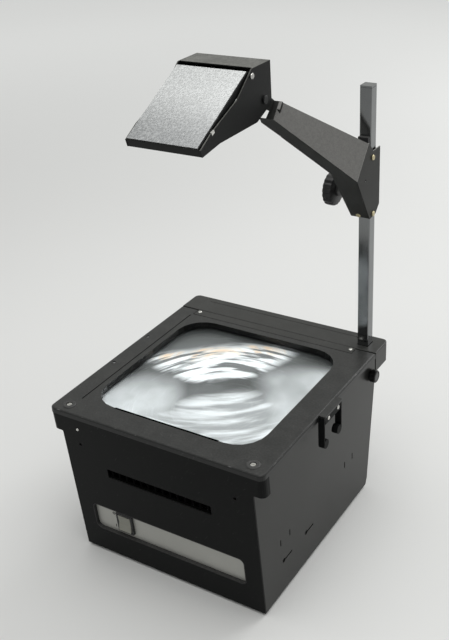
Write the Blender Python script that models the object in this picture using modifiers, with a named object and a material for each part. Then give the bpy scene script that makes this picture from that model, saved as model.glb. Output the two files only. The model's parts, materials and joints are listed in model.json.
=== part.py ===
"""Overhead projector: a leaning sheet-metal lamp box with a hinged glass stage on top,
a square chromed post at the right rear corner, and a cranked arm that carries the
projection head. The head's mirror folds down over it as a dust cover.

X runs to the right along the front, Y to the rear and Z up. Lengths are in metres.
The origin lies on the table under the middle of the whole object.
"""
import math

import bmesh
import bpy
from mathutils import Matrix, Vector

# Shared sheet, play and rounding
gap = 0.0003
running_play = 0.00005
fold_play = 0.0001
turning_play = 0.00015
sheet = 0.0015
thick_sheet = 0.002
corner_radius = 0.008
corner_steps = 5
round_steps = 28
small_steps = 16
merge_distance = 0.000002

# Body box
top_height = 0.242
foot_height = 0.004
foot_radius = 0.011
foot_inset = 0.024
lid_side_overhang = 0.016
lid_front_width = 0.0375
rear_shelf = 0.043
front_lean = 0.018
rear_lean = 0.032
rear_inset = 0.001
ear_height = 0.0267
ear_return = 0.006
ear_fillet = 0.002
chamfer_run = 0.003
chamfer_rise = 0.010

# Front panel openings
panel_hole_radius = 0.0022
panel_hole_inset = 0.0267
panel_hole_drop = 0.0498
slot_side_inset = 0.065
slot_height = 0.015
slot_drop = 0.078
slot_radius = 0.0015
mesh_margin = 0.007
mesh_thickness = 0.001
mesh_hole = 0.0088
mesh_hole_height = 0.0090
mesh_pitch = 0.0115
control_side_inset = 0.024
control_low = 0.044
control_high = 0.090
control_radius = 0.009
control_depth = 0.005
bezel_wall = 0.0012

# Rocker switch
switch_inset = 0.0515
switch_z = 0.069
rocker_half_width = 0.01
rocker_half_height = 0.0125
rocker_dip = 0.0015
rocker_front = 0.0035
rocker_back = 0.003
rocker_tilt = 5
rocker_play = 0.0013
rocker_side_play = 0.0004
switch_rim = 0.0016
switch_rim_depth = 0.0035
switch_wall = 0.0012
switch_depth = 0.016
rocker_pin_radius = 0.0015

# Side panel slits, keyholes and clamp
slit_width = 0.0022
slit_height = 0.010
slit_z = 0.088
slit_front_insets = (0.0628, 0.0870)
slit_rear_insets = (0.1072, 0.0827)
keyhole_z = 0.054
keyhole_insets = ((0.0695, 0.0914), (0.1312, 0.1514))
keyhole_radius = 0.0034
keyhole_half_slot = 0.0014
notch_reach_front = 0.01
notch_reach_rear = 0.0092
notch_depth = 0.012

# Stage lid
lid_side_width = 0.037
lid_rear_width = 0.0255
lid_plate = 0.003
lid_flange = 0.008
lid_edge_round = 0.0024
stage_half = 0.125
stage_y = -0.0155
stage_radius = 0.040
rim_depth = 0.009
worn_slit_left_inset = 0.044
worn_slit_right_inset = 0.047
worn_slit_width = 0.002
groove_depth = 0.001
groove_width = 0.002
left_groove_inset = 0.028
left_groove_front_inset = 0.035
left_groove_rear_inset = 0.0052
tab_reach_front = 0.0205
tab_reach_rear = 0.0285
tab_overhang = 0.0086
peg_hole_inset = 0.0085
peg_hole_front = 0.0333
peg_hole_rear = 0.0478
peg_hole_radius = 0.0042
lid_screw_side_inset = 0.022
lid_screw_front_inset = 0.016

# Hinge bar and its rail
bar_end_inset = 0.0303
bar_width = 0.0145
bar_swing_play = 0.001
bar_overhang = 0.0007
bar_depth = 0.008
hinge_inset = 0.007
hinge_drop = 0.0035
hinge_pin_radius = 0.002
lug_width = 0.0107
rail_depth = 0.0057
rail_drop = 0.0115

# Glass, lens sheet and retainer
glass_seat = 0.006
glass_thickness = 0.004
glass_radius = 0.020
fresnel_thickness = 0.002
retainer_wall = 0.0033
retainer_lip = 0.012
retainer_bore_radius = 0.030

# Corner blocks and captive screws
block_length = 0.022
block_height = 0.011
block_width = 0.014
washer_radius = 0.0072
washer_height = 0.0012
washer_flange = 0.0090
screw_head_radius = 0.0037
screw_head_height = 0.0016
screw_shank_radius = 0.0020
lid_shank_length = 0.0085
block_bore_play = 0.0012

# Rear cover
cover_gap = 0.0013
cover_flange_height = 0.030
cover_line_inset = 0.012
cover_line_left_inset = 0.032
cover_line_right_inset = 0.044
cover_line_run = 0.006

# Post, socket and clamp
post_side_inset = 0.0258
post_rear_inset = 0.0225
post_width = 0.016
post_wall = 0.0015
post_radius = 0.0012
post_sunk = 0.08
post_rise = 0.366
post_play = 0.0006
cap_height = 0.0022
cap_plug = 0.006
socket_low_drop = 0.061
socket_high_drop = 0.0085
socket_wall = 0.002
clamp_drop = 0.051
clamp_radius = 0.0092
clamp_length = 0.0098
clamp_rim = 0.0012
clamp_shank_radius = 0.003

# Roll bracket under the tab
bracket_clear = 0.0145
bracket_arm_width = 0.009
bracket_drop = 0.045
bracket_foot_radius = 0.0065
bracket_foot_front = 0.0075
bracket_foot_offset = 0.006

# Carriage and arm
cheek_reach = 0.011
cheek_top_lead = 0.0205
cheek_top_drop = 0.066
nose_lead = 0.0535
nose_drop = 0.105
cheek_toe_lead = 0.0145
cheek_toe_drop = 0.17
cheek_heel_trail = 0.0035
cheek_heel_drop = 0.1685
cheek_rear_trail = 0.0143
cheek_rear_low_drop = 0.158
cheek_rear_high_drop = 0.0796
cheek_dip_lead = 0.0065
cheek_dip_drop = 0.08
arm_end_clear = 0.005
arm_end_front_trail = 0.0113
arm_end_front_drop = 0.0269
arm_end_rear_trail = 0.0271
arm_end_rear_drop = 0.0082
arm_strip = 0.031
arm_tail_lead = 0.016
arm_tail_lower_trail = 0.0171
arm_tail_lower_drop = 0.0352
arm_tail_upper_trail = 0.0129
arm_tail_upper_drop = 0.0283
arm_toe_lead = 0.006
arm_toe_trail = 0.0106
arm_toe_drop = 0.0276
arm_crook_trail = 0.0266
arm_crook_drop = 0.0090
arm_crook_lead = 0.0035
strip_elbow_lead = 0.0242
bracket_left_lead = 0.0157
bracket_elbow_rise = 0.0065
tongue_thickness = 0.002
cheek_hole_lead = 0.0287
cheek_hole_drop = 0.1122
cheek_hole_radius = 0.0014
bracket_screw_insets = ((0.0087, 0.0877), (0.0058, 0.1653))
tongue_radius = 0.0095
tongue_start_angle = 60
bridge_clear = 0.0202
bridge_depth = 0.0075
bridge_overlap = 0.004
web_lead = 0.014
web_thickness = 0.0015
web_low_drop = 0.162
web_high_drop = 0.081
shoe_low_drop = 0.108
shoe_high_drop = 0.061
shoe_shoulder_drop = 0.082
shoe_left_lead = 0.007
shoe_right_reach = 0.0072
shoe_depth = 0.0062

# Focus drive
focus_drop = 0.1355
roller_radius = 0.0064
focus_shaft_radius = 0.003
focus_knob_radius = 0.022
focus_knob_length = 0.0165
focus_knob_lead = 0.0477
knob_boss_radius = 0.009
focus_bush_play = 0.00006

# Projection head
head_half_width = 0.052
head_lead = 0.1106
head_rise = 0.0042
roof_front_lead = 0.0227
roof_rise = 0.0438
head_rear_top_trail = 0.0164
head_rear_low_trail = 0.0169
head_rear_low_drop = 0.0082
head_floor_drop = 0.0222
head_floor_rear_lead = 0.0187
head_floor_front_lead = 0.1019
head_lip_low_lead = 0.1388
head_lip_low_drop = 0.0272
head_lip_high_lead = 0.1415
head_lip_high_drop = 0.0182
side_edge_offsets = ((0.1191, -0.0057), (0.0601, 0.0168), (0.0261, 0.0438))
rear_wall_short = 0.008
lens_lead = 0.0603
lens_hole_radius = 0.040
barrel_outer_radius = 0.0425
barrel_wall = 0.002
barrel_height = 0.0155
barrel_flange_radius = 0.046
objective_radius = 0.0400
objective_edge = 0.005
objective_dome = 0.004
head_bolt_radius = 0.003
head_bolt_head_radius = 0.0052
head_bolt_head_height = 0.0022
head_bolt_nut_height = 0.003

# Folding mirror cover, laid out along its own slope from the hinge
cover_axis_lead = 0.0277
cover_axis_rise = 0.0354
cover_slope = 27.6
cover_top = 0.00815
cover_start = 0.0007
cover_length = 0.127
cover_side_play = 0.0024
cover_plate = 0.0012
cover_flange_low = -0.002
cover_flange_end = 0.120
cover_ear_back = -0.004
face_plate_thickness = 0.001
face_plate_margin = 0.0012
mirror_side_inset = 0.0041
mirror_start = 0.012
mirror_length = 0.100
mirror_thickness = 0.003
hinge_screw_head = 0.0036
hinge_screw_height = 0.0016
hinge_screw_shank = 0.0020

# Lamp, condenser and cooling inside the box
reflector_foot_radius = 0.026
reflector_neck_height = 0.016
reflector_rim_radius = 0.050
reflector_rim_height = 0.046
reflector_wall = 0.0015
lamp_socket_radius = 0.013
lamp_socket_height = 0.034
lamp_radius = 0.0062
lamp_dome_share = 0.9
lamp_height = 0.030
holder_low = 0.084
holder_high = 0.098
holder_half_depth = 0.0495
holder_bore = 0.038
condenser_radius = 0.043
condenser_edge = 0.003
condenser_dome = 0.011
fan_half = 0.046
fan_rear_inset = 0.073
fan_depth = 0.025
fan_bore = 0.042
fan_blade_reach = 0.0405
fan_hub_radius = 0.015
fan_arm_width = 0.005
fan_arm_depth = 0.003
fan_blades = 7
fan_blade_thickness = 0.0016
fan_blade_pitch = 38
fan_blade_chord = 0.016
core_side_inset = 0.011
core_width = 0.07
core_front_inset = 0.072
core_depth = 0.04
core_height = 0.058
core_leg = 0.011
core_middle_leg = 0.020
coil_play = 0.0006
coil_overhang = 0.012
inlet_side_inset = 0.076
inlet_z = 0.050
inlet_half_width = 0.0135
inlet_half_height = 0.0100
inlet_flange = 0.003
inlet_flange_depth = 0.002
inlet_depth = 0.020
inlet_wall = 0.0015
inlet_floor = 0.003
inlet_pin_spacing = 0.007
inlet_pin_rise = 0.004
inlet_pin_half_width = 0.001
inlet_pin_half_height = 0.002
vent_slots = 8
vent_pitch = 0.009
vent_height = 0.0045
vent_half_length = 0.038
vent_z = 0.055
base_vents = 5
base_vent_pitch = 0.012

# Places worked out from the values above
lid_half_width = stage_half + lid_side_width
front_reach = stage_half - stage_y + lid_front_width
lid_rear = stage_y + stage_half + lid_rear_width
rear_reach = lid_rear + rear_shelf
body_half_width = lid_half_width - lid_side_overhang
panel_hole_x = body_half_width - panel_hole_inset
panel_hole_z = top_height - panel_hole_drop
slot_half_width = body_half_width - slot_side_inset
slot_high = top_height - slot_drop
slot_low = slot_high - slot_height
control_half_width = body_half_width - control_side_inset
switch_x = -control_half_width + switch_inset
notch_low = top_height - notch_depth
worn_slit_low = -stage_half + worn_slit_left_inset
worn_slit_high = stage_half - worn_slit_right_inset
left_groove_x = -lid_half_width + left_groove_inset
left_groove_front = -front_reach + left_groove_front_inset
tab_front = stage_y - tab_reach_front
tab_rear = stage_y + tab_reach_rear
tab_reach = lid_half_width + tab_overhang
peg_hole_x = -lid_half_width + peg_hole_inset
lid_screw_x = lid_half_width - lid_screw_side_inset
lid_screw_y = -front_reach + lid_screw_front_inset
bar_half_length = lid_half_width - bar_end_inset
bar_rear = lid_rear + bar_overhang
bar_front = bar_rear - bar_width
hinge_y = lid_rear - hinge_inset
hinge_z = top_height - hinge_drop
lug_front = bar_front
glass_half = stage_half + glass_seat
retainer_half = glass_half + retainer_wall
cover_line_y = rear_reach - cover_line_inset
cover_line_left = -lid_half_width + cover_line_left_inset
cover_line_right = lid_half_width - cover_line_right_inset
post_x = lid_half_width - post_side_inset
post_y = rear_reach - post_rear_inset
post_low = top_height - post_sunk
post_high = top_height + post_rise
socket_low = top_height - socket_low_drop
socket_high = top_height - socket_high_drop
clamp_z = top_height - clamp_drop
bracket_inner_x = body_half_width + bracket_clear
bracket_outer_x = bracket_inner_x + bracket_arm_width
bracket_low = top_height - bracket_drop
cheek_outer_x = post_x + cheek_reach
cheek_top_y = post_y - cheek_top_lead
cheek_top_z = post_high - cheek_top_drop
nose_y = post_y - nose_lead
nose_z = post_high - nose_drop
cheek_toe_y = post_y - cheek_toe_lead
cheek_toe_z = post_high - cheek_toe_drop
cheek_heel_y = post_y + cheek_heel_trail
cheek_heel_z = post_high - cheek_heel_drop
cheek_rear_y = post_y + cheek_rear_trail
cheek_rear_low = post_high - cheek_rear_low_drop
cheek_rear_high = post_high - cheek_rear_high_drop
cheek_dip_y = post_y - cheek_dip_lead
cheek_dip_z = post_high - cheek_dip_drop
arm_end_x = head_half_width + arm_end_clear
strip_elbow_x = post_x - strip_elbow_lead
bracket_left_x = post_x - bracket_left_lead
cheek_hole_y = post_y - cheek_hole_lead
cheek_hole_z = post_high - cheek_hole_drop
web_left_x = post_x - web_lead
web_low = post_high - web_low_drop
web_high = post_high - web_high_drop
shoe_low = post_high - shoe_low_drop
shoe_high = post_high - shoe_high_drop
shoe_shoulder = post_high - shoe_shoulder_drop
shoe_left_x = post_x - shoe_left_lead
shoe_right_x = post_x + shoe_right_reach
focus_z = post_high - focus_drop
focus_knob_x = post_x - focus_knob_lead
head_pivot_y = post_y - head_lead
head_pivot_z = post_high + head_rise
roof_front_y = head_pivot_y - roof_front_lead
roof_top_z = head_pivot_z + roof_rise
head_rear_top_y = head_pivot_y + head_rear_top_trail
head_rear_low_y = head_pivot_y + head_rear_low_trail
head_rear_low_z = head_pivot_z - head_rear_low_drop
head_floor_z = head_pivot_z - head_floor_drop
head_floor_rear_y = head_pivot_y - head_floor_rear_lead
head_floor_front_y = head_pivot_y - head_floor_front_lead
head_lip_low_y = head_pivot_y - head_lip_low_lead
head_lip_low_z = head_pivot_z - head_lip_low_drop
head_lip_high_y = head_pivot_y - head_lip_high_lead
head_lip_high_z = head_pivot_z - head_lip_high_drop
rear_wall_right_x = head_half_width - rear_wall_short
lens_y = head_pivot_y - lens_lead
cover_axis_y = head_pivot_y - cover_axis_lead
cover_axis_z = head_pivot_z + cover_axis_rise
cover_half_width = head_half_width - cover_side_play
mirror_half_width = cover_half_width - mirror_side_inset
holder_front = stage_y - holder_half_depth
holder_rear = stage_y + holder_half_depth
fan_front = rear_reach - fan_rear_inset
core_left = -body_half_width + core_side_inset
core_right = core_left + core_width
core_front = -front_reach + core_front_inset
core_rear = core_front + core_depth
inlet_x = body_half_width - inlet_side_inset
notch_front = hinge_y - notch_reach_front
notch_rear = hinge_y + notch_reach_rear
left_groove_rear = bar_front - left_groove_rear_inset
arm_end_front_y = head_pivot_y + arm_end_front_trail
arm_end_front_z = head_pivot_z - arm_end_front_drop
arm_end_rear_y = head_pivot_y + arm_end_rear_trail
arm_end_rear_z = head_pivot_z - arm_end_rear_drop
bracket_left_elbow_z = focus_z + bracket_elbow_rise
slit_places = [inset - front_reach for inset in slit_front_insets]
slit_places += [rear_reach - inset for inset in slit_rear_insets]
keyhole_places = [(near - front_reach, far - front_reach) for near, far in keyhole_insets]
peg_hole_places = (stage_y - peg_hole_front, stage_y + peg_hole_rear)
bracket_screw_places = [(post_y - lead, post_high - drop) for lead, drop in bracket_screw_insets]
side_edge_points = [(head_pivot_y - lead, head_pivot_z + rise) for lead, rise in side_edge_offsets]
front_slope = front_lean / (top_height - foot_height)
rear_slope = rear_lean / (top_height - foot_height)
front_angle = math.atan(front_slope)
rear_angle = math.atan(rear_slope)
base_low = foot_height + gap
base_top = base_low + thick_sheet
floor_z = base_top + gap
panel_top = top_height - lid_flange - gap
side_top = top_height - lid_plate - gap
inner_half_width = body_half_width - sheet
inside_half = inner_half_width - gap
frame_shift = -(tab_reach - lid_half_width) / 2
post_half = post_width / 2
glass_top = top_height - rim_depth - gap
glass_low = glass_top - glass_thickness
fresnel_low = glass_low - gap - fresnel_thickness
retainer_low = fresnel_low - gap - sheet


def front_face(height):
    """Y of the front panel's outer face at a height."""
    return -front_reach + (top_height - height) * front_slope


def front_inside(height):
    """Y just behind the front panel's inner face at a height."""
    return front_face(height) + thick_sheet / math.cos(front_angle) + gap


def rear_edge(height):
    """Y of the side panels' leaning rear edge at a height."""
    return rear_reach - (top_height - height) * rear_slope


def rear_inside(height):
    """Y just in front of the rear panel's inner face at a height."""
    return rear_edge(height) - rear_inset - thick_sheet / math.cos(rear_angle) - gap


# Scene and collections
for old in list(bpy.data.objects):
    bpy.data.objects.remove(old, do_unlink=True)

parts = bpy.data.collections.new("overhead_projector")
cutters = bpy.data.collections.new("cutters")
bpy.context.scene.collection.children.link(parts)
bpy.context.scene.collection.children.link(cutters)


# Shape helpers
PLANES = {
    "XY": Matrix(((1, 0, 0), (0, 1, 0), (0, 0, 1))).to_4x4(),
    "XZ": Matrix(((1, 0, 0), (0, 0, -1), (0, 1, 0))).to_4x4(),
    "YZ": Matrix(((0, 0, 1), (1, 0, 0), (0, 1, 0))).to_4x4(),
}
NORMALS = {"XY": Vector((0, 0, 1)), "XZ": Vector((0, 1, 0)), "YZ": Vector((1, 0, 0))}
TURNS = {
    "X": Matrix.Rotation(math.pi / 2, 4, "Y"),
    "Y": Matrix.Rotation(-math.pi / 2, 4, "X"),
    "Z": Matrix.Identity(4),
}


def rounded(corners):
    """Outline points of a polygon whose corners are (u, v, radius)."""
    points = []
    for index, (u, v, radius) in enumerate(corners):
        here = Vector((u, v))
        if radius == 0:
            points.append(here)
            continue
        before = (Vector(corners[index - 1][:2]) - here).normalized()
        after = (Vector(corners[(index + 1) % len(corners)][:2]) - here).normalized()
        half = before.angle(after) / 2
        centre = here + (before + after).normalized() * (radius / math.sin(half))
        first = here + before * (radius / math.tan(half)) - centre
        last = here + after * (radius / math.tan(half)) - centre
        start = math.atan2(first.y, first.x)
        turn = math.remainder(math.atan2(last.y, last.x) - start, math.tau)
        for step in range(corner_steps + 1):
            angle = start + turn * step / corner_steps
            points.append(centre + Vector((math.cos(angle), math.sin(angle))) * radius)
    return points


def rectangle(left, right, low, high, radius=0):
    """Outline of a rectangle, with rounded corners where a radius is given."""
    return rounded([(left, low, radius), (right, low, radius), (right, high, radius), (left, high, radius)])


def circle(u, v, radius, steps=round_steps):
    """Outline of a circle."""
    points = []
    for step in range(steps):
        angle = math.tau * step / steps
        points.append(Vector((u + radius * math.cos(angle), v + radius * math.sin(angle))))
    return points


def keyhole(front, rear, height):
    """Outline of a round hole at the front that runs into a narrow slot."""
    half = math.asin(keyhole_half_slot / keyhole_radius)
    points = [Vector((rear, height + keyhole_half_slot))]
    for step in range(small_steps + 1):
        angle = half + (math.tau - 2 * half) * step / small_steps
        points.append(Vector((front + keyhole_radius * math.cos(angle),
                              height + keyhole_radius * math.sin(angle))))
    points.append(Vector((rear, height - keyhole_half_slot)))
    return points


def outline_mesh(plane, low, high, outline, holes=()):
    """Mesh of a flat outline, with holes, between two levels along its plane's normal."""
    curve = bpy.data.curves.new("outline", "CURVE")
    curve.dimensions = "2D"
    curve.fill_mode = "BOTH"
    curve.extrude = (high - low) / 2
    for loop in (outline, *holes):
        spline = curve.splines.new("POLY")
        spline.points.add(len(loop) - 1)
        for point, (u, v) in zip(spline.points, loop):
            point.co = (u, v, 0, 1)
        spline.use_cyclic_u = True
    holder = bpy.data.objects.new("outline", curve)
    cutters.objects.link(holder)
    bpy.context.view_layer.update()
    evaluated = holder.evaluated_get(bpy.context.evaluated_depsgraph_get())
    mesh = bpy.data.meshes.new_from_object(evaluated)
    bpy.data.objects.remove(holder)
    bpy.data.curves.remove(curve)
    work = bmesh.new()
    work.from_mesh(mesh)
    bmesh.ops.remove_doubles(work, verts=work.verts, dist=merge_distance)
    place = Matrix.Translation(NORMALS[plane] * (low + high) / 2) @ PLANES[plane]
    bmesh.ops.transform(work, matrix=place, verts=work.verts)
    bmesh.ops.recalc_face_normals(work, faces=work.faces)
    work.to_mesh(mesh)
    work.free()
    return mesh


def rounded_top(mesh, width, segments):
    """Round the outer edges of a mesh's top face."""
    work = bmesh.new()
    work.from_mesh(mesh)
    top = max(vert.co.z for vert in work.verts) - merge_distance
    edges = []
    for edge in work.edges:
        if min(vert.co.z for vert in edge.verts) > top and edge.calc_face_angle() > 1:
            edges.append(edge)
    bmesh.ops.bevel(work, geom=edges, offset=width, segments=segments, profile=1 / 2, affect="EDGES")
    work.to_mesh(mesh)
    work.free()
    return mesh


def block_mesh(low, high):
    """Mesh of a box between two opposite corners."""
    low = Vector(low)
    high = Vector(high)
    mesh = bpy.data.meshes.new("block")
    work = bmesh.new()
    bmesh.ops.create_cube(work, size=1)
    size = high - low
    place = Matrix.Translation((low + high) / 2) @ Matrix.Diagonal((size.x, size.y, size.z, 1))
    bmesh.ops.transform(work, matrix=place, verts=work.verts)
    work.to_mesh(mesh)
    work.free()
    return mesh


def rod_mesh(axis, centre, low, high, radius, steps=round_steps):
    """Mesh of a cylinder along an axis, between two levels on that axis."""
    mesh = bpy.data.meshes.new("rod")
    work = bmesh.new()
    bmesh.ops.create_cone(work, cap_ends=True, segments=steps, radius1=radius, radius2=radius,
                          depth=high - low)
    middle = Vector(centre)
    middle["XYZ".index(axis)] = (low + high) / 2
    bmesh.ops.transform(work, matrix=Matrix.Translation(middle) @ TURNS[axis], verts=work.verts)
    work.to_mesh(mesh)
    work.free()
    return mesh


def hull_mesh(points):
    """Mesh of the convex solid round a set of points."""
    mesh = bpy.data.meshes.new("hull")
    work = bmesh.new()
    for point in points:
        work.verts.new(point)
    bmesh.ops.convex_hull(work, input=work.verts)
    bmesh.ops.recalc_face_normals(work, faces=work.faces)
    work.to_mesh(mesh)
    work.free()
    return mesh


def new_object(name, mesh, collection):
    """Object for a mesh that is laid out in the frame of the whole."""
    thing = bpy.data.objects.new(name, mesh)
    collection.objects.link(thing)
    return thing


def hold(thing, parent, origin):
    """Hang an object from an empty, with its own origin at a place in the frame of the whole."""
    origin = Vector(origin)
    thing.data.transform(Matrix.Translation(-origin))
    thing.parent = parent
    thing.location = origin - Vector(parent["place"])


def tool(mesh, parent=None):
    """Hidden helper solid that is joined to a part or cut out of it."""
    thing = new_object("helper", mesh, cutters)
    thing.hide_render = True
    thing.display_type = "WIRE"
    thing.parent = parent or root
    if parent is not None:
        thing.location = -Vector(parent["place"])
    return thing


def combine(thing, operation, meshes, parent=None):
    """Join or cut helper solids, one Boolean for each."""
    for mesh in meshes:
        step = thing.modifiers.new(operation.lower(), "BOOLEAN")
        step.operation = operation
        step.object = tool(mesh, parent)
    return thing


def join(thing, *meshes):
    return combine(thing, "UNION", meshes, thing.parent)


def cut(thing, *meshes):
    return combine(thing, "DIFFERENCE", meshes, thing.parent)


def soften(thing, width, segments=2, angle=40):
    """Rounded edges."""
    bevel = thing.modifiers.new("bevel", "BEVEL")
    bevel.width = width
    bevel.segments = segments
    bevel.limit_method = "ANGLE"
    bevel.angle_limit = math.radians(angle)
    return thing


def paint(thing, colour, roughness, metallic=0):
    """Give an object a material of its own."""
    material = bpy.data.materials.new(thing.name)
    material.use_nodes = True
    shader = material.node_tree.nodes["Principled BSDF"]
    shader.inputs["Base Color"].default_value = (*colour, 1)
    shader.inputs["Roughness"].default_value = roughness
    shader.inputs["Metallic"].default_value = metallic
    thing.data.materials.clear()
    thing.data.materials.append(material)
    return thing


BLACK = ((0.022, 0.023, 0.024), 0.45, 0.3)
WARM_BLACK = ((0.05, 0.05, 0.048), 0.4, 0.3)
DULL_BLACK = ((0.02, 0.02, 0.02), 0.7, 0)
GALVANISED = ((0.45, 0.46, 0.46), 0.45, 0.9)
BRIGHT = ((0.7, 0.7, 0.68), 0.25, 1)
ZINC = ((0.62, 0.55, 0.32), 0.3, 1)
CHROME = ((0.75, 0.76, 0.77), 0.08, 1)
GLASS = ((0.85, 0.9, 0.9), 0.03, 0)


def part(name, parent, mesh, look, origin=None):
    """One named sub-part, hung from the empty of its moving group."""
    thing = new_object(name, mesh, parts)
    hold(thing, parent, origin or parent["place"])
    return paint(thing, *look)


def turned(name, parent, axis, place, profile, look, steps=round_steps):
    """Turned sub-part: its profile of (radius, level) runs down the outer side, top to bottom."""
    mesh = bpy.data.meshes.new(name)
    closed = profile[0] == profile[-1]
    points = [(radius, 0, level) for radius, level in (profile[:-1] if closed else profile)]
    edges = [(index, index + 1) for index in range(len(points) - 1)]
    if closed:
        edges.append((len(points) - 1, 0))
    mesh.from_pydata(points, edges, [])
    thing = new_object(name, mesh, parts)
    thing.parent = parent
    thing.location = Vector(place) - Vector(parent["place"])
    thing.rotation_euler = TURNS[axis].to_euler()
    screw = thing.modifiers.new("turn", "SCREW")
    screw.steps = steps
    screw.render_steps = steps
    screw.use_merge_vertices = True
    screw.merge_threshold = merge_distance
    screw.use_smooth_shade = True
    return paint(thing, *look)


def empty(name, parent, place):
    """Empty on the axis of a moving group."""
    thing = bpy.data.objects.new(name, None)
    parts.objects.link(thing)
    thing["place"] = tuple(place)
    thing.parent = parent
    start = Vector(parent["place"]) if parent else Vector((-frame_shift, 0, 0))
    thing.location = Vector(place) - start
    return thing


# Groups that move together
root = empty("projector_frame", None, (0, 0, 0))
rocker_y = front_face(switch_z) + control_depth
rocker_axis = empty("rocker_axis", root, (switch_x, rocker_y, switch_z))
lid_axis = empty("lid_axis", root, (0, hinge_y, hinge_z))
fan_axis = empty("fan_axis", root, (0, fan_front, floor_z + fan_half))
clamp_axis = empty("clamp_axis", root, (body_half_width, post_y, clamp_z))
post_slide = empty("post_slide", root, (post_x, post_y, post_low))
carriage_slide = empty("carriage_slide", post_slide, (post_x, post_y, focus_z))
focus_y = post_y - post_half - roller_radius - gap
focus_axis = empty("focus_axis", carriage_slide, (focus_knob_x, focus_y, focus_z))
head_axis = empty("head_axis", carriage_slide, (head_half_width, head_pivot_y, head_pivot_z))
cover_axis = empty("cover_axis", head_axis, (0, cover_axis_y, cover_axis_z))


def both_sides(build):
    """Build a left and a right copy of a piece."""
    for side, side_name in ((-1, "left"), (1, "right")):
        build(side, side_name)


def ordered(first, second):
    """The two levels in rising order."""
    return (min(first, second), max(first, second))


# Base, feet and panels
def build_base():
    front = front_inside(base_low)
    rear = rear_edge(base_low) - chamfer_run - gap
    vents = []
    for row in range(base_vents):
        start = row * base_vent_pitch - base_vents * base_vent_pitch / 2
        vents.append(rectangle(-vent_half_length, vent_half_length, start, start + vent_height, 0))
    outline = rectangle(-inside_half, inside_half, front, rear, ear_fillet)
    part("base_plate", root, outline_mesh("XY", base_low, base_top, outline, vents[:1] + vents[-1:]),
         GALVANISED)
    for side, side_name in ((-1, "left"), (1, "right")):
        for y, end in ((front + foot_inset, "front"), (rear - foot_inset, "rear")):
            place = (side * (inside_half - foot_inset), y, 0)
            name = "foot_" + end + "_" + side_name
            profile = [(0, foot_height), (foot_radius, foot_height), (foot_radius - sheet, 0), (0, 0)]
            turned(name, root, "Z", place, profile, DULL_BLACK, small_steps)


def build_front_panel():
    """Leaning front sheet with a wide head whose ends curl back."""
    def level(height):
        return -(panel_top - height) / math.cos(front_angle)

    flat_half = lid_half_width - corner_radius
    outline = rounded([
        (-flat_half, 0, 0), (-flat_half, fold_play - ear_height, 0),
        (-body_half_width, -ear_height, ear_fillet), (-body_half_width, level(base_low), 0),
        (body_half_width, level(base_low), 0), (body_half_width, -ear_height, ear_fillet),
        (flat_half, fold_play - ear_height, 0), (flat_half, 0, 0),
    ])
    holes = [
        rectangle(-slot_half_width, slot_half_width, level(slot_low), level(slot_high), slot_radius),
        rectangle(-control_half_width, control_half_width, level(control_low), level(control_high),
                  control_radius),
        circle(-panel_hole_x, level(panel_hole_z), panel_hole_radius, small_steps),
        circle(panel_hole_x, level(panel_hole_z), panel_hole_radius, small_steps),
    ]
    panel = new_object("front_panel", outline_mesh("XZ", 0, thick_sheet, outline, holes), parts)
    panel.parent = root
    panel.location = (0, front_face(panel_top), panel_top)
    panel.rotation_euler = (front_angle, 0, 0)
    outer = corner_radius - running_play
    inner = corner_radius - thick_sheet + running_play
    tip = corner_radius + ear_return
    for side in (-1, 1):
        points = [Vector((side * (flat_half - ear_fillet), running_play))]
        for step in range(corner_steps + 1):
            angle = math.pi / 2 * step / corner_steps
            points.append(Vector((side * (flat_half + outer * math.sin(angle)),
                                  corner_radius - outer * math.cos(angle))))
        points.append(Vector((side * (flat_half + outer), tip)))
        points.append(Vector((side * (flat_half + inner), tip)))
        for step in range(corner_steps + 1):
            angle = math.pi / 2 * (1 - step / corner_steps)
            points.append(Vector((side * (flat_half + inner * math.sin(angle)),
                                  corner_radius - inner * math.cos(angle))))
        points.append(Vector((side * (flat_half - ear_fillet), thick_sheet - running_play)))
        mesh = outline_mesh("XY", running_play - ear_height, -running_play, points)
        level_shear = Matrix.Identity(4)
        level_shear[2][1] = -front_slope
        mesh.transform(level_shear)
        curl = tool(mesh)
        curl.location = panel.location
        curl.rotation_euler = panel.rotation_euler
        step = panel.modifiers.new("curl", "BOOLEAN")
        step.operation = "UNION"
        step.object = curl
    paint(panel, *BLACK)


def lean(thing, height, depth=0):
    """Set an upright piece on the leaning front, at a height and a depth behind the face."""
    thing.location = (0, front_face(height) + depth * math.cos(front_angle),
                      height + depth * math.sin(front_angle))
    thing.rotation_euler = (front_angle, 0, 0)


def leaning_part(name, parent, mesh, height, depth, look):
    thing = new_object(name, mesh, parts)
    thing.parent = parent
    lean(thing, height, depth)
    return paint(thing, *look)


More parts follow.
